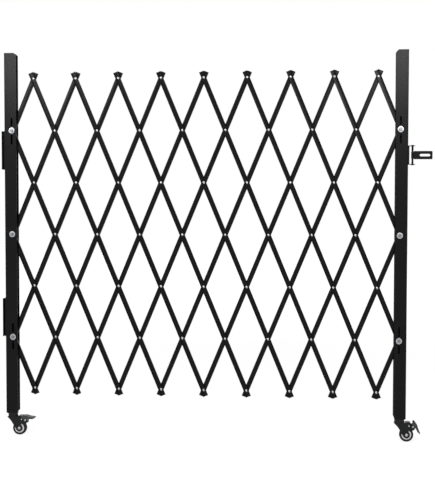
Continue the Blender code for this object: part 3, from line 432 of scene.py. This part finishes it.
# lattice
lattice = {
    "firstColumn": 41.3 * mm,      # the left post's pin line
    "middleRow": 333 * mm,
    "pitch": 222.27 * mm,          # pivot to pivot along a link
    "lean": 22.45,                 # degrees from upright, as photographed
    "columns": 18, "rows": 6,
    "links": 12,                   # that lean each way
}
linkForm = {
    "width": 19.05 * mm, "depth": 9.5 * mm, "wall": 1.4 * mm,
    "past": 25.4 * mm,             # from the last pivot to the cut end
    "face": 0.15 * mm,             # half the gap between the webs, which run back to back
    "bend": 2.6 * mm, "bendInside": 1.2 * mm, "edge": 0.4 * mm,
    "burr": 0.35 * mm,             # the deburred cut ends
}
rivetForm = {
    "head": 5.5 * mm, "headHeight": 2.4 * mm, "headStart": 0.12,
    "shank": 2.4 * mm, "tail": 4.8 * mm, "tailHeight": 2.1 * mm,
    "tailRoll": [(0.92, 0.0), (1.0, 0.35), (0.90, 0.80), (0.70, 1.0), (0.48, 0.85), (0.30, 0.45),
                 (0.08, 0.35)],    # shares of the tail's radius and height, from its seat to its dimple
    "sides": 18,
}

lean = math.radians(lattice["lean"])
columnStep, rowStep = lattice["pitch"] * math.sin(lean), lattice["pitch"] * math.cos(lean)


def pivotAt(column, row):
    # columns count from the left and rows from the top: x = first column + column times step, and
    # z = middle row + (half the rows - row) times step
    x = lattice["firstColumn"] + column * columnStep
    return np.array([x, 0.0, lattice["middleRow"] + (lattice["rows"] / 2 - row) * rowStep])


def linkPivots(isFront, number):
    # front links keep column minus row, rear links column plus row, from the bottom up
    diagonal = 2 * number - lattice["rows"] + 1 if isFront else 2 * number + 1
    rows = range(lattice["rows"], -1, -1)
    found = [(diagonal + row if isFront else diagonal - row, row) for row in rows]
    return [spot for spot in found if 0 <= spot[0] <= lattice["columns"]]


def channelSection(form, shrink):
    # a channel's outline, rounded: web along X at Y = 0, flanges to Y = depth, and every face drawn in
    # by shrink
    half, depth, wall = form["width"] / 2 - shrink, form["depth"] - shrink, form["wall"] - shrink
    inner = form["width"] / 2 - wall
    corners = [(-half, depth), (-half, shrink), (half, shrink), (half, depth),
               (inner, depth), (inner, wall), (-inner, wall), (-inner, depth)]
    edge, bend, inside = form["edge"], form["bend"], form["bendInside"]
    return roundCorners(corners, [edge, bend, bend, edge, edge, inside, inside, edge], 4)


def linkShape(form, isFront, spots):
    # the section carried along the line of pivots: base + along s + across x + out y
    base, top = pivotAt(*spots[0]), pivotAt(*spots[-1])
    end = np.linalg.norm(top - base) + form["past"]
    along = np.array([math.sin(-lean if isFront else lean), 0, math.cos(lean)])
    across = np.array([along[2], 0, -along[0]])
    out = np.array([0, -1.0 if isFront else 1.0, 0])
    stations = [(-form["past"], form["burr"]), (-form["past"] + form["burr"], 0),
                (end - form["burr"], 0), (end, form["burr"])]
    rings = []
    for place, shrink in stations:
        x, y = channelSection(form, shrink).T[:, :, None]
        rings.append(base + place * along + x * across + (y + form["face"]) * out)
    return loft(np.stack(rings))


def rivetShape(form):
    # a domed head, a shank, and a rolled tail with a dimple, turned about Z
    seat = linkForm["face"] + linkForm["wall"]
    head = dome(form["head"], seat, form["headHeight"], form["headStart"])
    shank = [(form["shank"], seat), (form["shank"], -seat)]
    tail = np.array(form["tailRoll"]) * (form["tail"], -form["tailHeight"]) - (0, seat)
    return loft(turned(np.concatenate([head, shank, tail]), form["sides"]))


rivet = rivetShape(rivetForm)
for isFront, family in ((True, "front"), (False, "rear")):
    for number in range(lattice["links"]):
        node = f"{family}_link_{number + 1:02d}"
        spots = linkPivots(isFront, number)
        makePiece(f"{node}_channel", linkShape(linkForm, isFront, spots), blackCoat,
                  node, [node])
        riveted = [spot for spot in spots if 0 < spot[0] < lattice["columns"]]
        if isFront and riveted:
            heads = together([put(rivet, pivotAt(*spot), **toFront) for spot in riveted])
            makePiece(f"{node}_rivets", heads, brightZinc, node)
print("lattice made")


# posts
postForm = {
    "height": (-384 * mm, 1050 * mm),
    "width": 48 * mm, "depth": 32 * mm, "wall": 2 * mm, "bend": 2.6 * mm,
    "corner": 9 * mm,              # cut off the flanges' inner corners
    "pinInset": 29.3 * mm,
    "slotHalf": 3.68 * mm,
    "slotReach": (355.7 * mm, 460.6 * mm),   # above and below the middle row
    "foot": 2.5 * mm, "footCorner": 3 * mm, "footGap": 0.1 * mm, "footEdge": 0.3 * mm,
    "rim": 0.45 * mm,              # rounding of the sheared edges
    "rimAngle": 50.0,              # degrees, so that the bends aren't rounded again
}
posts = {                          # outer face, and which way the channel opens
    "left_post": (12.0 * mm, 1),
    "right_post": (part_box("right_post")[1].x, -1),
}


def slotStations(form, middle):
    # heights and half widths down both slots: the half width is sqrt(half^2 - d^2), with d the distance
    # past the centre of the slot's round end
    half = form["slotHalf"]
    quarter = np.linspace(0, math.pi / 2, 7)
    low, high = form["slotReach"]
    heights = np.concatenate([low + half - half * np.cos(quarter), high - half + half * np.sin(quarter)])
    widths = np.concatenate([half * np.sin(quarter), half * np.cos(quarter)])
    return (np.concatenate([middle - heights[::-1], middle + heights]),
            np.concatenate([widths[::-1], widths]))


def postShape(form, face, opens):
    # columns run round the channel from its front edge to its rear edge, rows up it, and each point is
    # (face + opens u, y, z). At the pins' line two columns stand the slots' width apart, which is nothing
    # above, between and below the slots, and no face joins them
    low, high = form["height"]
    slotHeights, slotWidths = slotStations(form, lattice["middleRow"])
    heights = np.concatenate([[low, low + form["corner"]], slotHeights, [high - form["corner"], high]])
    widths = np.concatenate([[0, 0], slotWidths, [0, 0]])
    edge = form["width"] - form["corner"] * np.isin(heights, [low, high])
    half, pin, steps = form["depth"] / 2, form["pinInset"], 5
    web = [(pin, -half), (0, -half), (0, half), (pin, half)]
    bends = roundCorners(web, form["bend"], steps, closed=False)[steps + 1:-steps - 1]
    columns = [(edge, -half), ((edge + pin) / 2, -half), (pin + widths, -half), (pin - widths, -half)]
    columns += [(np.full(len(heights), u), y) for u, y in bends]
    columns += [(np.full(len(heights), pin), half), ((edge + pin) / 2, half), (edge, half)]
    points = np.stack([
        np.stack([face + opens * u, np.full(len(heights), y), heights], -1) for u, y in columns
    ], 1)
    faces = gridFaces(len(heights), len(columns), goesRound=False).reshape(len(heights) - 1, -1, 4)
    kept = np.concatenate([faces[:, :2], faces[:, 3:]], 1).reshape(-1, 4)
    return points.reshape(-1, 3), [kept]


def footShape(form, face, opens):
    # a rounded plate inside the channel's foot
    gap, soft = form["footGap"], form["footEdge"]
    inside = form["depth"] / 2 - form["wall"] - gap
    near, far = form["wall"] + gap, form["width"] - form["corner"]
    low = form["height"][0]
    high = low + form["foot"]
    rings = []
    for height, shrink in ((low + soft, soft), (low + 2 * soft, 0), (high - soft, 0), (high, soft)):
        corners = [(near + shrink, shrink - inside), (far - shrink, shrink - inside),
                   (far - shrink, inside - shrink), (near + shrink, inside - shrink)]
        ring = roundCorners(corners, form["footCorner"], 4)
        rings.append(np.column_stack([face + opens * ring[:, 0], ring[:, 1], np.full(len(ring), height)]))
    return loft(np.stack(rings))


for node, (face, opens) in posts.items():
    post = makePiece(f"{node}_channel", postShape(postForm, face, opens), blackCoat,
                     node, [node])
    if post.data.polygons[0].normal.y > 0:
        post.data.flip_normals()   # so that the sheet's thickness goes inwards
    sheet = post.modifiers.new("sheet", "SOLIDIFY")
    sheet.thickness = postForm["wall"]
    sheet.offset = -1.0
    sheet.use_even_offset = True
    softEdges(post, postForm["rim"], 2, postForm["rimAngle"])
    makePiece(f"{node}_foot", footShape(postForm, face, opens), blackCoat, node)
print("posts made")


# post bolts and nuts
boltForm = {
    "shank": 3.1 * mm, "washer": 11.7 * mm, "washerThick": 1.8 * mm, "spacer": 15.5 * mm,
    "discEdge": 0.3 * mm,          # rounding of washers and spacers
    "across": 12.7 * mm, "headHeight": 5.0 * mm, "nutHeight": 5.5 * mm,
    "coneTop": 0.48, "coneDrop": 0.13, "coneSpread": 1.73,   # the hexagons' chamfers, see chamferLevels
    "boreEdge": 0.3 * mm,          # chamfer of the nut's bore
    "past": 2.5 * mm,              # from the nut to the bolt's end
    "intoHead": 1.0 * mm,          # how far the shank goes on inside the head
    "thread": 9.0 * mm, "pitch": 1.0 * mm, "threadDepth": 0.5 * mm, "threadLead": 0.6 * mm,
    "clear": 0.3 * mm, "touch": 0.1 * mm,   # gaps: between parts that move, and where parts meet
    "sides": 36,
    "crease": 25.0,                # degrees past which an edge shows sharp
}


def hexagonRings(across, levels, sides):
    # radius at angle a is half the width across flats over cos(a from the flat's middle), and never
    # more than a cone's, which clips the six corners: the levels give height and cone radius
    angle = np.arange(sides) / sides * 2 * math.pi
    flat = across / 2 / np.cos((angle + math.pi / 6) % (math.pi / 3) - math.pi / 6)
    heights, cone = np.asarray(levels, float).T
    radius = np.minimum(flat[None], cone[:, None])
    return np.stack([radius * np.cos(angle), radius * np.sin(angle),
                     np.repeat(heights[:, None], sides, 1)], -1)


def chamferLevels(form, low, high, bothEnds):
    # heights with the cone's radius there: coneTop at the end, and coneSpread more for each mm from it,
    # down to coneDrop. Top and drop are shares of the width across flats
    across = form["across"]
    drop = np.linspace(0, form["coneDrop"] * across, 6)
    cone = form["coneTop"] * across + form["coneSpread"] * drop
    bottom = np.stack([low + drop, cone], 1) if bothEnds else [(low, across)]
    return np.concatenate([bottom, np.stack([high - drop, cone], 1)[::-1]])


def discShape(radius, low, high, bore):
    # a washer: rounded rectangle of radius and height turned about Z
    edge = min(boltForm["discEdge"], (high - low) / 3)
    return hoop(roundCorners([(bore, low), (radius, low), (radius, high), (bore, high)], edge, 3), 32)


def threadShape(form, low, high):
    # radius = shank - depth times a triangle wave of (height / pitch - angle / full turn), and times a
    # share that grows from 0.75 to 1 over the lead at the low end
    perPitch, sides = 5, 24
    rows = int((high - low) / (form["pitch"] / perPitch)) + 1
    height = np.linspace(low, high, rows)[:, None]
    angle = (np.arange(sides) / sides)[None]
    wave = np.abs(((height / form["pitch"] - angle) % 1) * 2 - 1)
    share = np.clip((height - low) / form["threadLead"] + 0.4, 0.75, 1)
    radius = (form["shank"] - form["threadDepth"] * wave) * share
    turn = angle * 2 * math.pi
    return loft(np.stack([radius * np.cos(turn), radius * np.sin(turn),
                          np.broadcast_to(height, radius.shape)], -1))


def nutSeat(form, slides):
    # from the middle: a sliding bolt's nut sits in the rear link, a fixed one's on the post's washer
    if slides:
        return linkForm["face"] + linkForm["wall"] + form["clear"]
    return postForm["depth"] / 2 + form["washerThick"]


def boltShape(form, slides):
    # the bright parts: washer, plain shank and thread
    head = postForm["depth"] / 2 + form["washerThick"]
    end = -(nutSeat(form, slides) + form["nutHeight"] + form["past"] + (0 if slides else form["clear"]))
    plain = [(form["shank"], end + form["thread"]), (form["shank"], head + form["intoHead"])]
    return together([
        discShape(form["washer"], head - form["washerThick"] + form["touch"], head, form["shank"]),
        loft(turned(plain, 24)),
        threadShape(form, end, end + form["thread"] + form["touch"]),
    ])


def headShape(form):
    # a hexagon, chamfered at its front end
    seat = postForm["depth"] / 2 + form["washerThick"]
    levels = chamferLevels(form, seat, seat + form["headHeight"], False)
    return loft(hexagonRings(form["across"], levels, form["sides"]))


def spacerShape(form, slides):
    # the discs inside the post that centre the links: one in front, and a fixed bolt has one behind too
    inner = linkForm["face"] + linkForm["depth"] + form["clear"]
    outer = postForm["depth"] / 2 - postForm["wall"] - form["clear"]
    shapes = [discShape(form["spacer"], inner, outer, form["shank"])]
    if not slides:
        shapes.append(discShape(form["spacer"], -outer, -inner, form["shank"]))
    return together(shapes)


def nutShape(form, slides):
    # a hexagon chamfered at both ends with a bore, and a washer where the bolt is fixed
    seat = nutSeat(form, slides)
    end = seat + form["nutHeight"]
    bore = form["shank"] + form["touch"]
    outer = hexagonRings(form["across"], chamferLevels(form, -end, -seat, True), form["sides"])
    inner = turned([(bore, -seat - form["boreEdge"]), (bore, -end + form["boreEdge"])], form["sides"])
    shapes = [loft(np.concatenate([outer, inner, outer[:1]]), capped=False)]
    if not slides:
        outside = postForm["depth"] / 2
        shapes.append(discShape(form["washer"], -outside - form["washerThick"], -outside - form["touch"],
                                bore))
    return together(shapes)


head = headShape(boltForm)
for slides in (False, True):
    bolt, spacers, nut = (make(boltForm, slides) for make in (boltShape, spacerShape, nutShape))
    # the heads' darker zinc is painted shade
    # the spacers' dark zinc is painted shade inside the post
    extras = (("head", head, headZinc), ("spacers", spacers, dullZinc))
    for side in ("left", "right"):
        for level in ("upper", "lower") if slides else ("middle",):
            for kind, shape in (("bolt", bolt), ("nut", nut)):
                node = f"{side}_{level}_{kind}"
                low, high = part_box(node)
                centre = ((low.x + high.x) / 2, 0, (low.z + high.z) / 2)
                makePiece(f"{node}_set", put(shape, centre, **toFront), brightZinc,
                          bodyOf[node], [node], crease=boltForm["crease"])
                for name, extra, finish in (extras if kind == "bolt" else ()):
                    makePiece(f"{node}_{name}", put(extra, centre, **toFront), finish,
                              bodyOf[node], crease=boltForm["crease"])
print("bolts made")


# casters
casterForm = {
    "tyre": 8.6 * mm, "tread": 21.5 * mm, "shoulder": 3.6 * mm, "bead": 0.4 * mm,
    "crown": (0.6 * mm, 9 * mm),   # how much the tread's middle stands out, and its rounding
    "rimLip": 3.0 * mm, "lipSlope": 1.0 * mm, "faceWidth": 15 * mm,
    "boss": 7.8 * mm, "bossSlope": 1.2 * mm, "bore": 4.3 * mm,
    "dish": (4.0 * mm, 1.0 * mm),  # the web's lowest ring: out from the boss, and down
    "wheelRound": 0.9 * mm,
    "gap": 24.6 * mm,              # between the fork's sides
    "forkWall": 2.3 * mm,
    "axle": 4.0 * mm, "axleHead": 5.8 * mm, "axleHeadHeight": 2.6 * mm, "axlePowers": (0.8, 0.7),
    "clear": 0.3 * mm, "touch": 0.1 * mm,   # gaps: beside the wheel, and under the axle's heads
    "sides": 48,
}
casterForm["radius"] = (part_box("left_caster_tyre")[1].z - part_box("left_caster_tyre")[0].z) / 2


def tyreShape(form):
    # a rounded band turned about the axle
    inner, outer, half = form["radius"] - form["tyre"], form["radius"], form["tread"] / 2
    out, crown = form["crown"]
    corners = [(inner, -half), (outer - out, -half), (outer, 0), (outer - out, half), (inner, half)]
    cuts = [form["bead"], form["shoulder"], crown, form["shoulder"], form["bead"]]
    return hoop(roundCorners(corners, cuts, 6), form["sides"])


def wheelShape(form):
    # half of the section from bore to rim, mirrored, turned about the axle: boss, dished web, lipped rim
    rim = form["radius"] - form["tyre"] - form["clear"]
    half, face, lip = form["tread"] / 2, form["faceWidth"] / 2, rim - form["rimLip"]
    boss, bossEnd = form["boss"], form["gap"] / 2 - form["clear"]
    away, down = form["dish"]
    upper = np.array([(form["bore"], bossEnd), (boss - form["bossSlope"], bossEnd), (boss, face),
                      (boss + away, face - down), (lip - form["lipSlope"], face), (lip, half), (rim, half)])
    section = roundCorners(np.concatenate([upper, upper[::-1] * (1, -1)]), form["wheelRound"], 4)
    return hoop(section, form["sides"])


def axleShape(form):
    # a plain shank with a flattened dome riveted on each end
    seat = form["gap"] / 2 + form["forkWall"] + form["touch"]
    head = dome(form["axleHead"], seat, form["axleHeadHeight"], powers=form["axlePowers"])
    return spindle(np.concatenate([head, [(form["axleHead"], seat), (form["axle"], seat)]]), 28)


def pinShape(radius, seat, head):
    # a riveted pin about Z: a plain shank with a dome on each end
    return spindle(np.concatenate([dome(head[0], seat, head[1], points=6), [(radius, seat)]]), 20)


# side view of fork and lever, in millimetres from the swivel axis towards the pedal, and over the floor.
# Only the edges' rounding is in metres. The lever's own values stand above its shape
forkForm = {
    "hub": (27.5, 28.0), "hubEye": 12.8, "hubArc": (60, -147),
    "ear": (51.8, 60.0), "earRadius": 8.6, "earArc": (90, -15),
    "toe": [(60.0, 53.0), (57.0, 48.0), (52.5, 45.4), (44.5, 46.2), (36.4, 47.6)],
    "shin": [(-1.0, 49.5), (-8.0, 60.5), (-20.1, 72.5)],
    "crown": [(-20.5, 74.5), (20.5, 74.5), (26.0, 78.5), (42.0, 78.5)],
    "sideStart": [(0.4, -0.4), (0.3, -0.4), (0.3, -0.4)],   # from the crown's first three points
    "crownBend": 0.8, "crownPast": 0.15,
    "front": [(41.6, 78.1), (42.6, 73.0), (46.2, 69.2)],    # from the hood down to the ear
    "raceBore": 8.0, "raceRadius": 19.3, "race": (74.2, 77.5), "raceRound": 1.0,
    "springPin": (36.7, 63.3), "springRadius": 1.8, "springHead": (2.9, 1.3),   # head radius and height
    "edge": 0.7 * mm, "plateEdge": 0.5 * mm,
}


def forkShape(form):
    # two side plates, the bent sheet over them and the lower race, all in millimetres
    gap, wall = casterForm["gap"] / mm / 2, casterForm["forkWall"] / mm
    outside = gap + wall
    crown = np.array(form["crown"])
    side = np.concatenate([
        crown[:3] + form["sideStart"], form["front"],
        bow(form["ear"], form["earRadius"], *form["earArc"], 10), form["toe"],
        bow(form["hub"], form["hubEye"], *form["hubArc"], 16), form["shin"],
    ])
    bend = form["crownBend"]
    sheet = np.concatenate([crown, crown[::-1] + [(0, -wall), (bend, -wall), (bend, -wall), (0, -wall)]])
    bore, radius, (low, high) = form["raceBore"], form["raceRadius"], form["race"]
    race = roundCorners([(bore, low), (radius, low), (radius, high), (bore, high)], form["raceRound"], 4)
    past = outside + form["crownPast"]
    return together([slab(side, -outside, -gap), slab(side, gap, outside), slab(sheet, -past, past),
                     hoop(race, 40)])


leverForm = {
    "pivot": (52.0, 60.5), "eye": 5.6, "eyeArc": (20, -190), "cheek": (14.95, 16.4),
    "top": [(36.5, 76.4), (43.8, 78.2), (52.5, 78.6), (59.5, 77.4), (66.5, 74.9), (78.0, 72.9),
            (85.5, 72.0), (89.4, 69.9)],
    "under": [(87.0, 67.4), (79.0, 65.0), (68.5, 65.4), (61.0, 67.2)],
    "heel": [(44.5, 66.6), (37.0, 70.2)],
    "sheet": 2.0, "sheetLap": 0.3,                          # and how far the cheeks end below its top
    "sheetStart": 1,                                        # it starts at the second top point
    "block": 9.4,                                           # half width of the block with the shoe
    "blockFront": [(-4.5, 16.6), (8.0, 15.4), (6.2, 3.0), (8.6, -6.6)],       # from the pivot
    "shoe": [(14.0, 314.0), (13.2, 302.0), (12.4, 291.0)],  # from the pivot: reach and direction
    "blockRear": [(2.2, -10.5), (-0.5, -5.2), (-4.6, -2.5), (-5.2, 1.5)],
    "press": 58.0, "pinRadius": 2.4, "pinHead": (3.3, 1.2),
    "edge": 0.5 * mm,
}


def leverShape(form):
    # an inverted trough in millimetres: two cheeks outside the ears, a top sheet, and between the ears a
    # block with the shoe
    pivot, (inner, outer), half = np.array(form["pivot"]), form["cheek"], form["block"]
    top = np.array(form["top"])
    eye = bow(pivot, form["eye"], *form["eyeArc"], 14)
    cheek = np.concatenate([top - (0, form["sheetLap"]), form["under"], eye, form["heel"]])
    sheetTop = top[form["sheetStart"]:]
    sheet = np.concatenate([sheetTop, sheetTop[::-1] - (0, form["sheet"])])
    reach, direction = np.array(form["shoe"]).T
    angle = np.radians(direction)
    shoe = np.stack([reach * np.cos(angle), reach * np.sin(angle)], -1)
    block = pivot + np.concatenate([form["blockFront"], shoe, form["blockRear"]])
    return together([slab(cheek, -outer, -inner), slab(cheek, inner, outer), slab(sheet, -outer, outer),
                     slab(block, -half, half)])


def turnedDown(shape, pivot, degrees):
    # turned about Y through the pivot: x' = x cos + z sin, z' = z cos - x sin, from the pivot
    points, faces = shape
    angle = math.radians(degrees)
    x, z = points[:, 0] - pivot[0], points[:, 2] - pivot[1]
    turn = [pivot[0] + x * math.cos(angle) + z * math.sin(angle), points[:, 1],
            pivot[1] + z * math.cos(angle) - x * math.sin(angle)]
    return np.stack(turn, -1), faces


def at(place):
    # a place in the side view, in the middle of the width
    return (place[0], 0.0, place[1])


def scaled(shape, share):
    # every point times the share
    return shape[0] * share, shape[1]


forkSide = (casterForm["gap"] / 2 + casterForm["forkWall"]) / mm
springPin = put(pinShape(forkForm["springRadius"], forkSide, forkForm["springHead"]),
                at(forkForm["springPin"]), **toFront)
leverPin = put(pinShape(leverForm["pinRadius"], leverForm["cheek"][1], leverForm["pinHead"]),
               at(leverForm["pivot"]), **toFront)
for side in ("left", "right"):
    low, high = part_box(f"{side}_caster_tyre")
    hub = ((low.x + high.x) / 2, 0, (low.z + high.z) / 2)
    foot = (hub[0] - forkForm["hub"][0] * mm, 0, hub[2] - forkForm["hub"][1] * mm)
    pressed = leverForm["press"] if side == "right" else 0.0
    makePiece(f"{side}_caster_tread", put(tyreShape(casterForm), hub, **toFront), treadRubber,
              f"{side}_wheel", [f"{side}_caster_tyre"])
    makePiece(f"{side}_caster_centre", put(wheelShape(casterForm), hub, **toFront), wheelPlastic,
              f"{side}_wheel", [f"{side}_caster_wheel"])
    makePiece(f"{side}_caster_axle_rivet", put(axleShape(casterForm), hub, **toFront), brightZinc,
              f"{side}_caster", [f"{side}_caster_axle"])
    fork = makePiece(f"{side}_caster_fork_sheet", put(scaled(forkShape(forkForm), mm), foot), blackDip,
                     f"{side}_caster", [f"{side}_caster_fork"])
    softEdges(fork, forkForm["edge"], 3)
    makePiece(f"{side}_caster_spring_pin", put(scaled(springPin, mm), foot), brightZinc,
              f"{side}_caster")
    fromSolid(f"{side}_caster_plate", forkForm["plateEdge"], blackDip)
    lever = turnedDown(leverShape(leverForm), leverForm["pivot"], pressed)
    lever = makePiece(f"{side}_caster_lever", put(scaled(lever, mm), foot), dullZinc,
                      f"{side}_brake", [f"{side}_caster_brake"])
    softEdges(lever, leverForm["edge"], 3)
    makePiece(f"{side}_caster_lever_pin", put(scaled(leverPin, mm), foot), brightZinc,
              f"{side}_brake")
print("casters made")


# wall hinges and latch
hingeForm = {"leafEdge": 0.4 * mm, "pinEdge": 0.3 * mm}
haspForm = {                       # in millimetres from the pin's axis, but for the edges' rounding
    "reach": 76.5, "height": 31.8, "sheet": 3.0, "corner": 3.0,
    "root": 5.0,                   # where the plate is full height
    "eye": 5.4, "bore": 4.2, "eyeHeight": 26.0, "eyeEdge": 0.4,
    "slot": (40.0, 9.5), "slotEnd": 9.0,
    "edge": 0.5 * mm, "bracketEdge": 0.5 * mm,
}


def haspShape(form):
    # plate and slot as two outlines with the same number of points, joined into a flat ring of faces, and
    # the eye turned about Z
    half, tip, root, corner = form["height"] / 2, form["reach"], form["root"], form["corner"]
    length, width = form["slot"]
    far, near = tip - form["slotEnd"] - width / 2, tip - form["slotEnd"] - length + width / 2
    hole = np.concatenate([bow((far, 0), width / 2, -90, 90, 11), bow((near, 0), width / 2, 90, 270, 11)])
    right = np.concatenate([[(far, -half)], bow((tip - corner, corner - half), corner, -90, 0, 4),
                            bow((tip - corner, half - corner), corner, 0, 90, 4), [(far, half)]])
    leftX = np.concatenate([np.linspace(near, root, 4), np.full(4, root), np.linspace(root, near, 4)])
    leftZ = np.concatenate([np.full(4, half), np.linspace(half, -half, 6)[1:5], np.full(4, -half)])
    outline = np.concatenate([right, np.stack([leftX, leftZ], -1)])
    thick = form["sheet"] / 2
    rings = [np.insert(ring, 1, y, axis=1) for ring, y in
             ((hole, -thick), (outline, -thick), (outline, thick), (hole, thick), (hole, -thick))]
    bore, eye, eyeHalf = form["bore"], form["eye"], form["eyeHeight"] / 2
    tube = roundCorners([(bore, -eyeHalf), (eye, -eyeHalf), (eye, eyeHalf), (bore, eyeHalf)],
                        form["eyeEdge"], 3)
    return together([loft(np.stack(rings), capped=False), hoop(tube, 32)])


for level in ("upper", "lower"):
    for leaf in ("wall_leaf", "post_leaf"):
        fromSolid(f"{level}_hinge_{leaf}", hingeForm["leafEdge"], blackCoat)
    fromSolid(f"{level}_hinge_pin", hingeForm["pinEdge"], brightZinc)
for part in ("bracket", "pin"):
    fromSolid(f"latch_{part}", haspForm["bracketEdge"], blackCoat)
low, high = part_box("latch_pin")
pinAxis = ((low.x + high.x) / 2, (low.y + high.y) / 2, (low.z + high.z) / 2)
hasp = makePiece("latch_hasp_plate", put(scaled(haspShape(haspForm), mm), pinAxis), blackCoat,
                 bodyOf["latch_hasp"], ["latch_hasp"])
softEdges(hasp, haspForm["edge"], 3)
print("hinges and latch made")


# floor and light
stagePlan = {
    "floorZ": cadLow.z - 0.2 * mm,   # just under the tyres
    "floorSize": 30.0,
    "floorColour": "#eeeeee",      # what the floor gives back to the object
    "boardColour": "#aaaaaa",      # what the camera sees of it, with the glow below on top
    "glow": (0.75, 0.87),          # near the object, where the lamps add theirs, and far from it
    "glowReach": (2.0, 6.5),       # metres from the object's middle
    "around": 0.50,                # what the white room gives to plain surfaces
    "white": (1.0, 1.0, 1.0, 1.0),
    "lamps": {                     # place, aim, size and power
        "topLamp": ((0.35, -2.3, 2.9), (0.8, 0.0, 0.5), (2.4, 1.2), 32.0),
        "leftLamp": ((-0.84, -3.0, 1.56), (0.4, 0.0, 0.6), (0.9, 0.55), 27.0),
        "rightLamp": ((1.98, -3.0, 1.58), (1.2, 0.0, 0.6), (0.9, 0.55), 31.0),
    },
}


def backgroundShare(tree):
    # 1 for rays that show the background: from the camera, in a gloss, or through a clear thing
    path = addNode(tree, "ShaderNodeLightPath").outputs
    glossy = addNode(tree, "ShaderNodeMath", None, {0: path["Is Camera Ray"], 1: path["Is Glossy Ray"]},
                     operation="MAXIMUM")
    return addNode(tree, "ShaderNodeMath", None, {0: glossy.outputs[0], 1: path["Is Transmission Ray"]},
                   operation="MAXIMUM").outputs[0]


def makeStage(plan):
    half, height = plan["floorSize"] / 2, plan["floorZ"]
    corners = [(-half, -half, height), (half, -half, height), (half, half, height), (-half, half, height)]
    mesh = bpy.data.meshes.new("studioFloor")
    mesh.from_pydata(corners, [], [(0, 1, 2, 3)])
    floor = bpy.data.objects.new("studioFloor", mesh)
    bpy.context.scene.collection.objects.link(floor)
    # painted board: part of what the camera sees is its own light, and more of it farther away, where the
    # lamps give less, so that the board meets the white room without a line
    made = bpy.data.materials.new("paintedBoard")
    made.use_nodes = True
    tree = made.node_tree
    tree.nodes.remove(tree.nodes["Principled BSDF"])
    output = tree.nodes["Material Output"]
    whole = addNode(tree, "ShaderNodeBsdfDiffuse", {"Color": linear(plan["floorColour"])})
    board = addNode(tree, "ShaderNodeBsdfDiffuse", {"Color": linear(plan["boardColour"])})
    place = addNode(tree, "ShaderNodeTexCoord").outputs["Object"]
    middle = (cadLow + cadHigh) / 2
    away = addNode(tree, "ShaderNodeVectorMath", {1: (middle.x, middle.y, height)}, {0: place},
                   operation="DISTANCE")
    share = addNode(tree, "ShaderNodeMapRange",
                    {"From Min": plan["glowReach"][0], "From Max": plan["glowReach"][1],
                     "To Min": plan["glow"][0], "To Max": plan["glow"][1]},
                    {"Value": away.outputs["Value"]}, interpolation_type="SMOOTHSTEP")
    glow = addNode(tree, "ShaderNodeEmission", {"Color": plan["white"]}, {"Strength": share.outputs[0]})
    bright = addNode(tree, "ShaderNodeAddShader", None, {0: board.outputs[0], 1: glow.outputs[0]})
    chosen = addNode(tree, "ShaderNodeMixShader", None,
                     {0: backgroundShare(tree), 1: whole.outputs[0], 2: bright.outputs[0]})
    tree.links.new(chosen.outputs[0], output.inputs["Surface"])
    mesh.materials.append(made)


def makeLight(plan):
    # a white room, dimmer to plain surfaces than to the camera, and three soft lamps
    world = bpy.data.worlds.new("whiteRoom")
    bpy.context.scene.world = world
    world.use_nodes = True
    tree = world.node_tree
    back = tree.nodes["Background"]
    back.inputs["Color"].default_value = plan["white"]
    level = addNode(tree, "ShaderNodeMapRange", {"To Min": plan["around"], "To Max": 1.0},
                    {"Value": backgroundShare(tree)})
    tree.links.new(level.outputs[0], back.inputs["Strength"])
    for name, (place, aim, size, power) in plan["lamps"].items():
        data = bpy.data.lights.new(name, "AREA")
        data.shape = "RECTANGLE"
        data.size, data.size_y = size
        data.energy = power
        lamp = bpy.data.objects.new(name, data)
        lamp.location = place
        lamp.rotation_euler = (Vector(aim) - Vector(place)).to_track_quat("-Z", "Y").to_euler()
        bpy.context.scene.collection.objects.link(lamp)


makeStage(stagePlan)
makeLight(stagePlan)
bpy.context.scene.view_settings.view_transform = "Standard"
print("stage and light set")
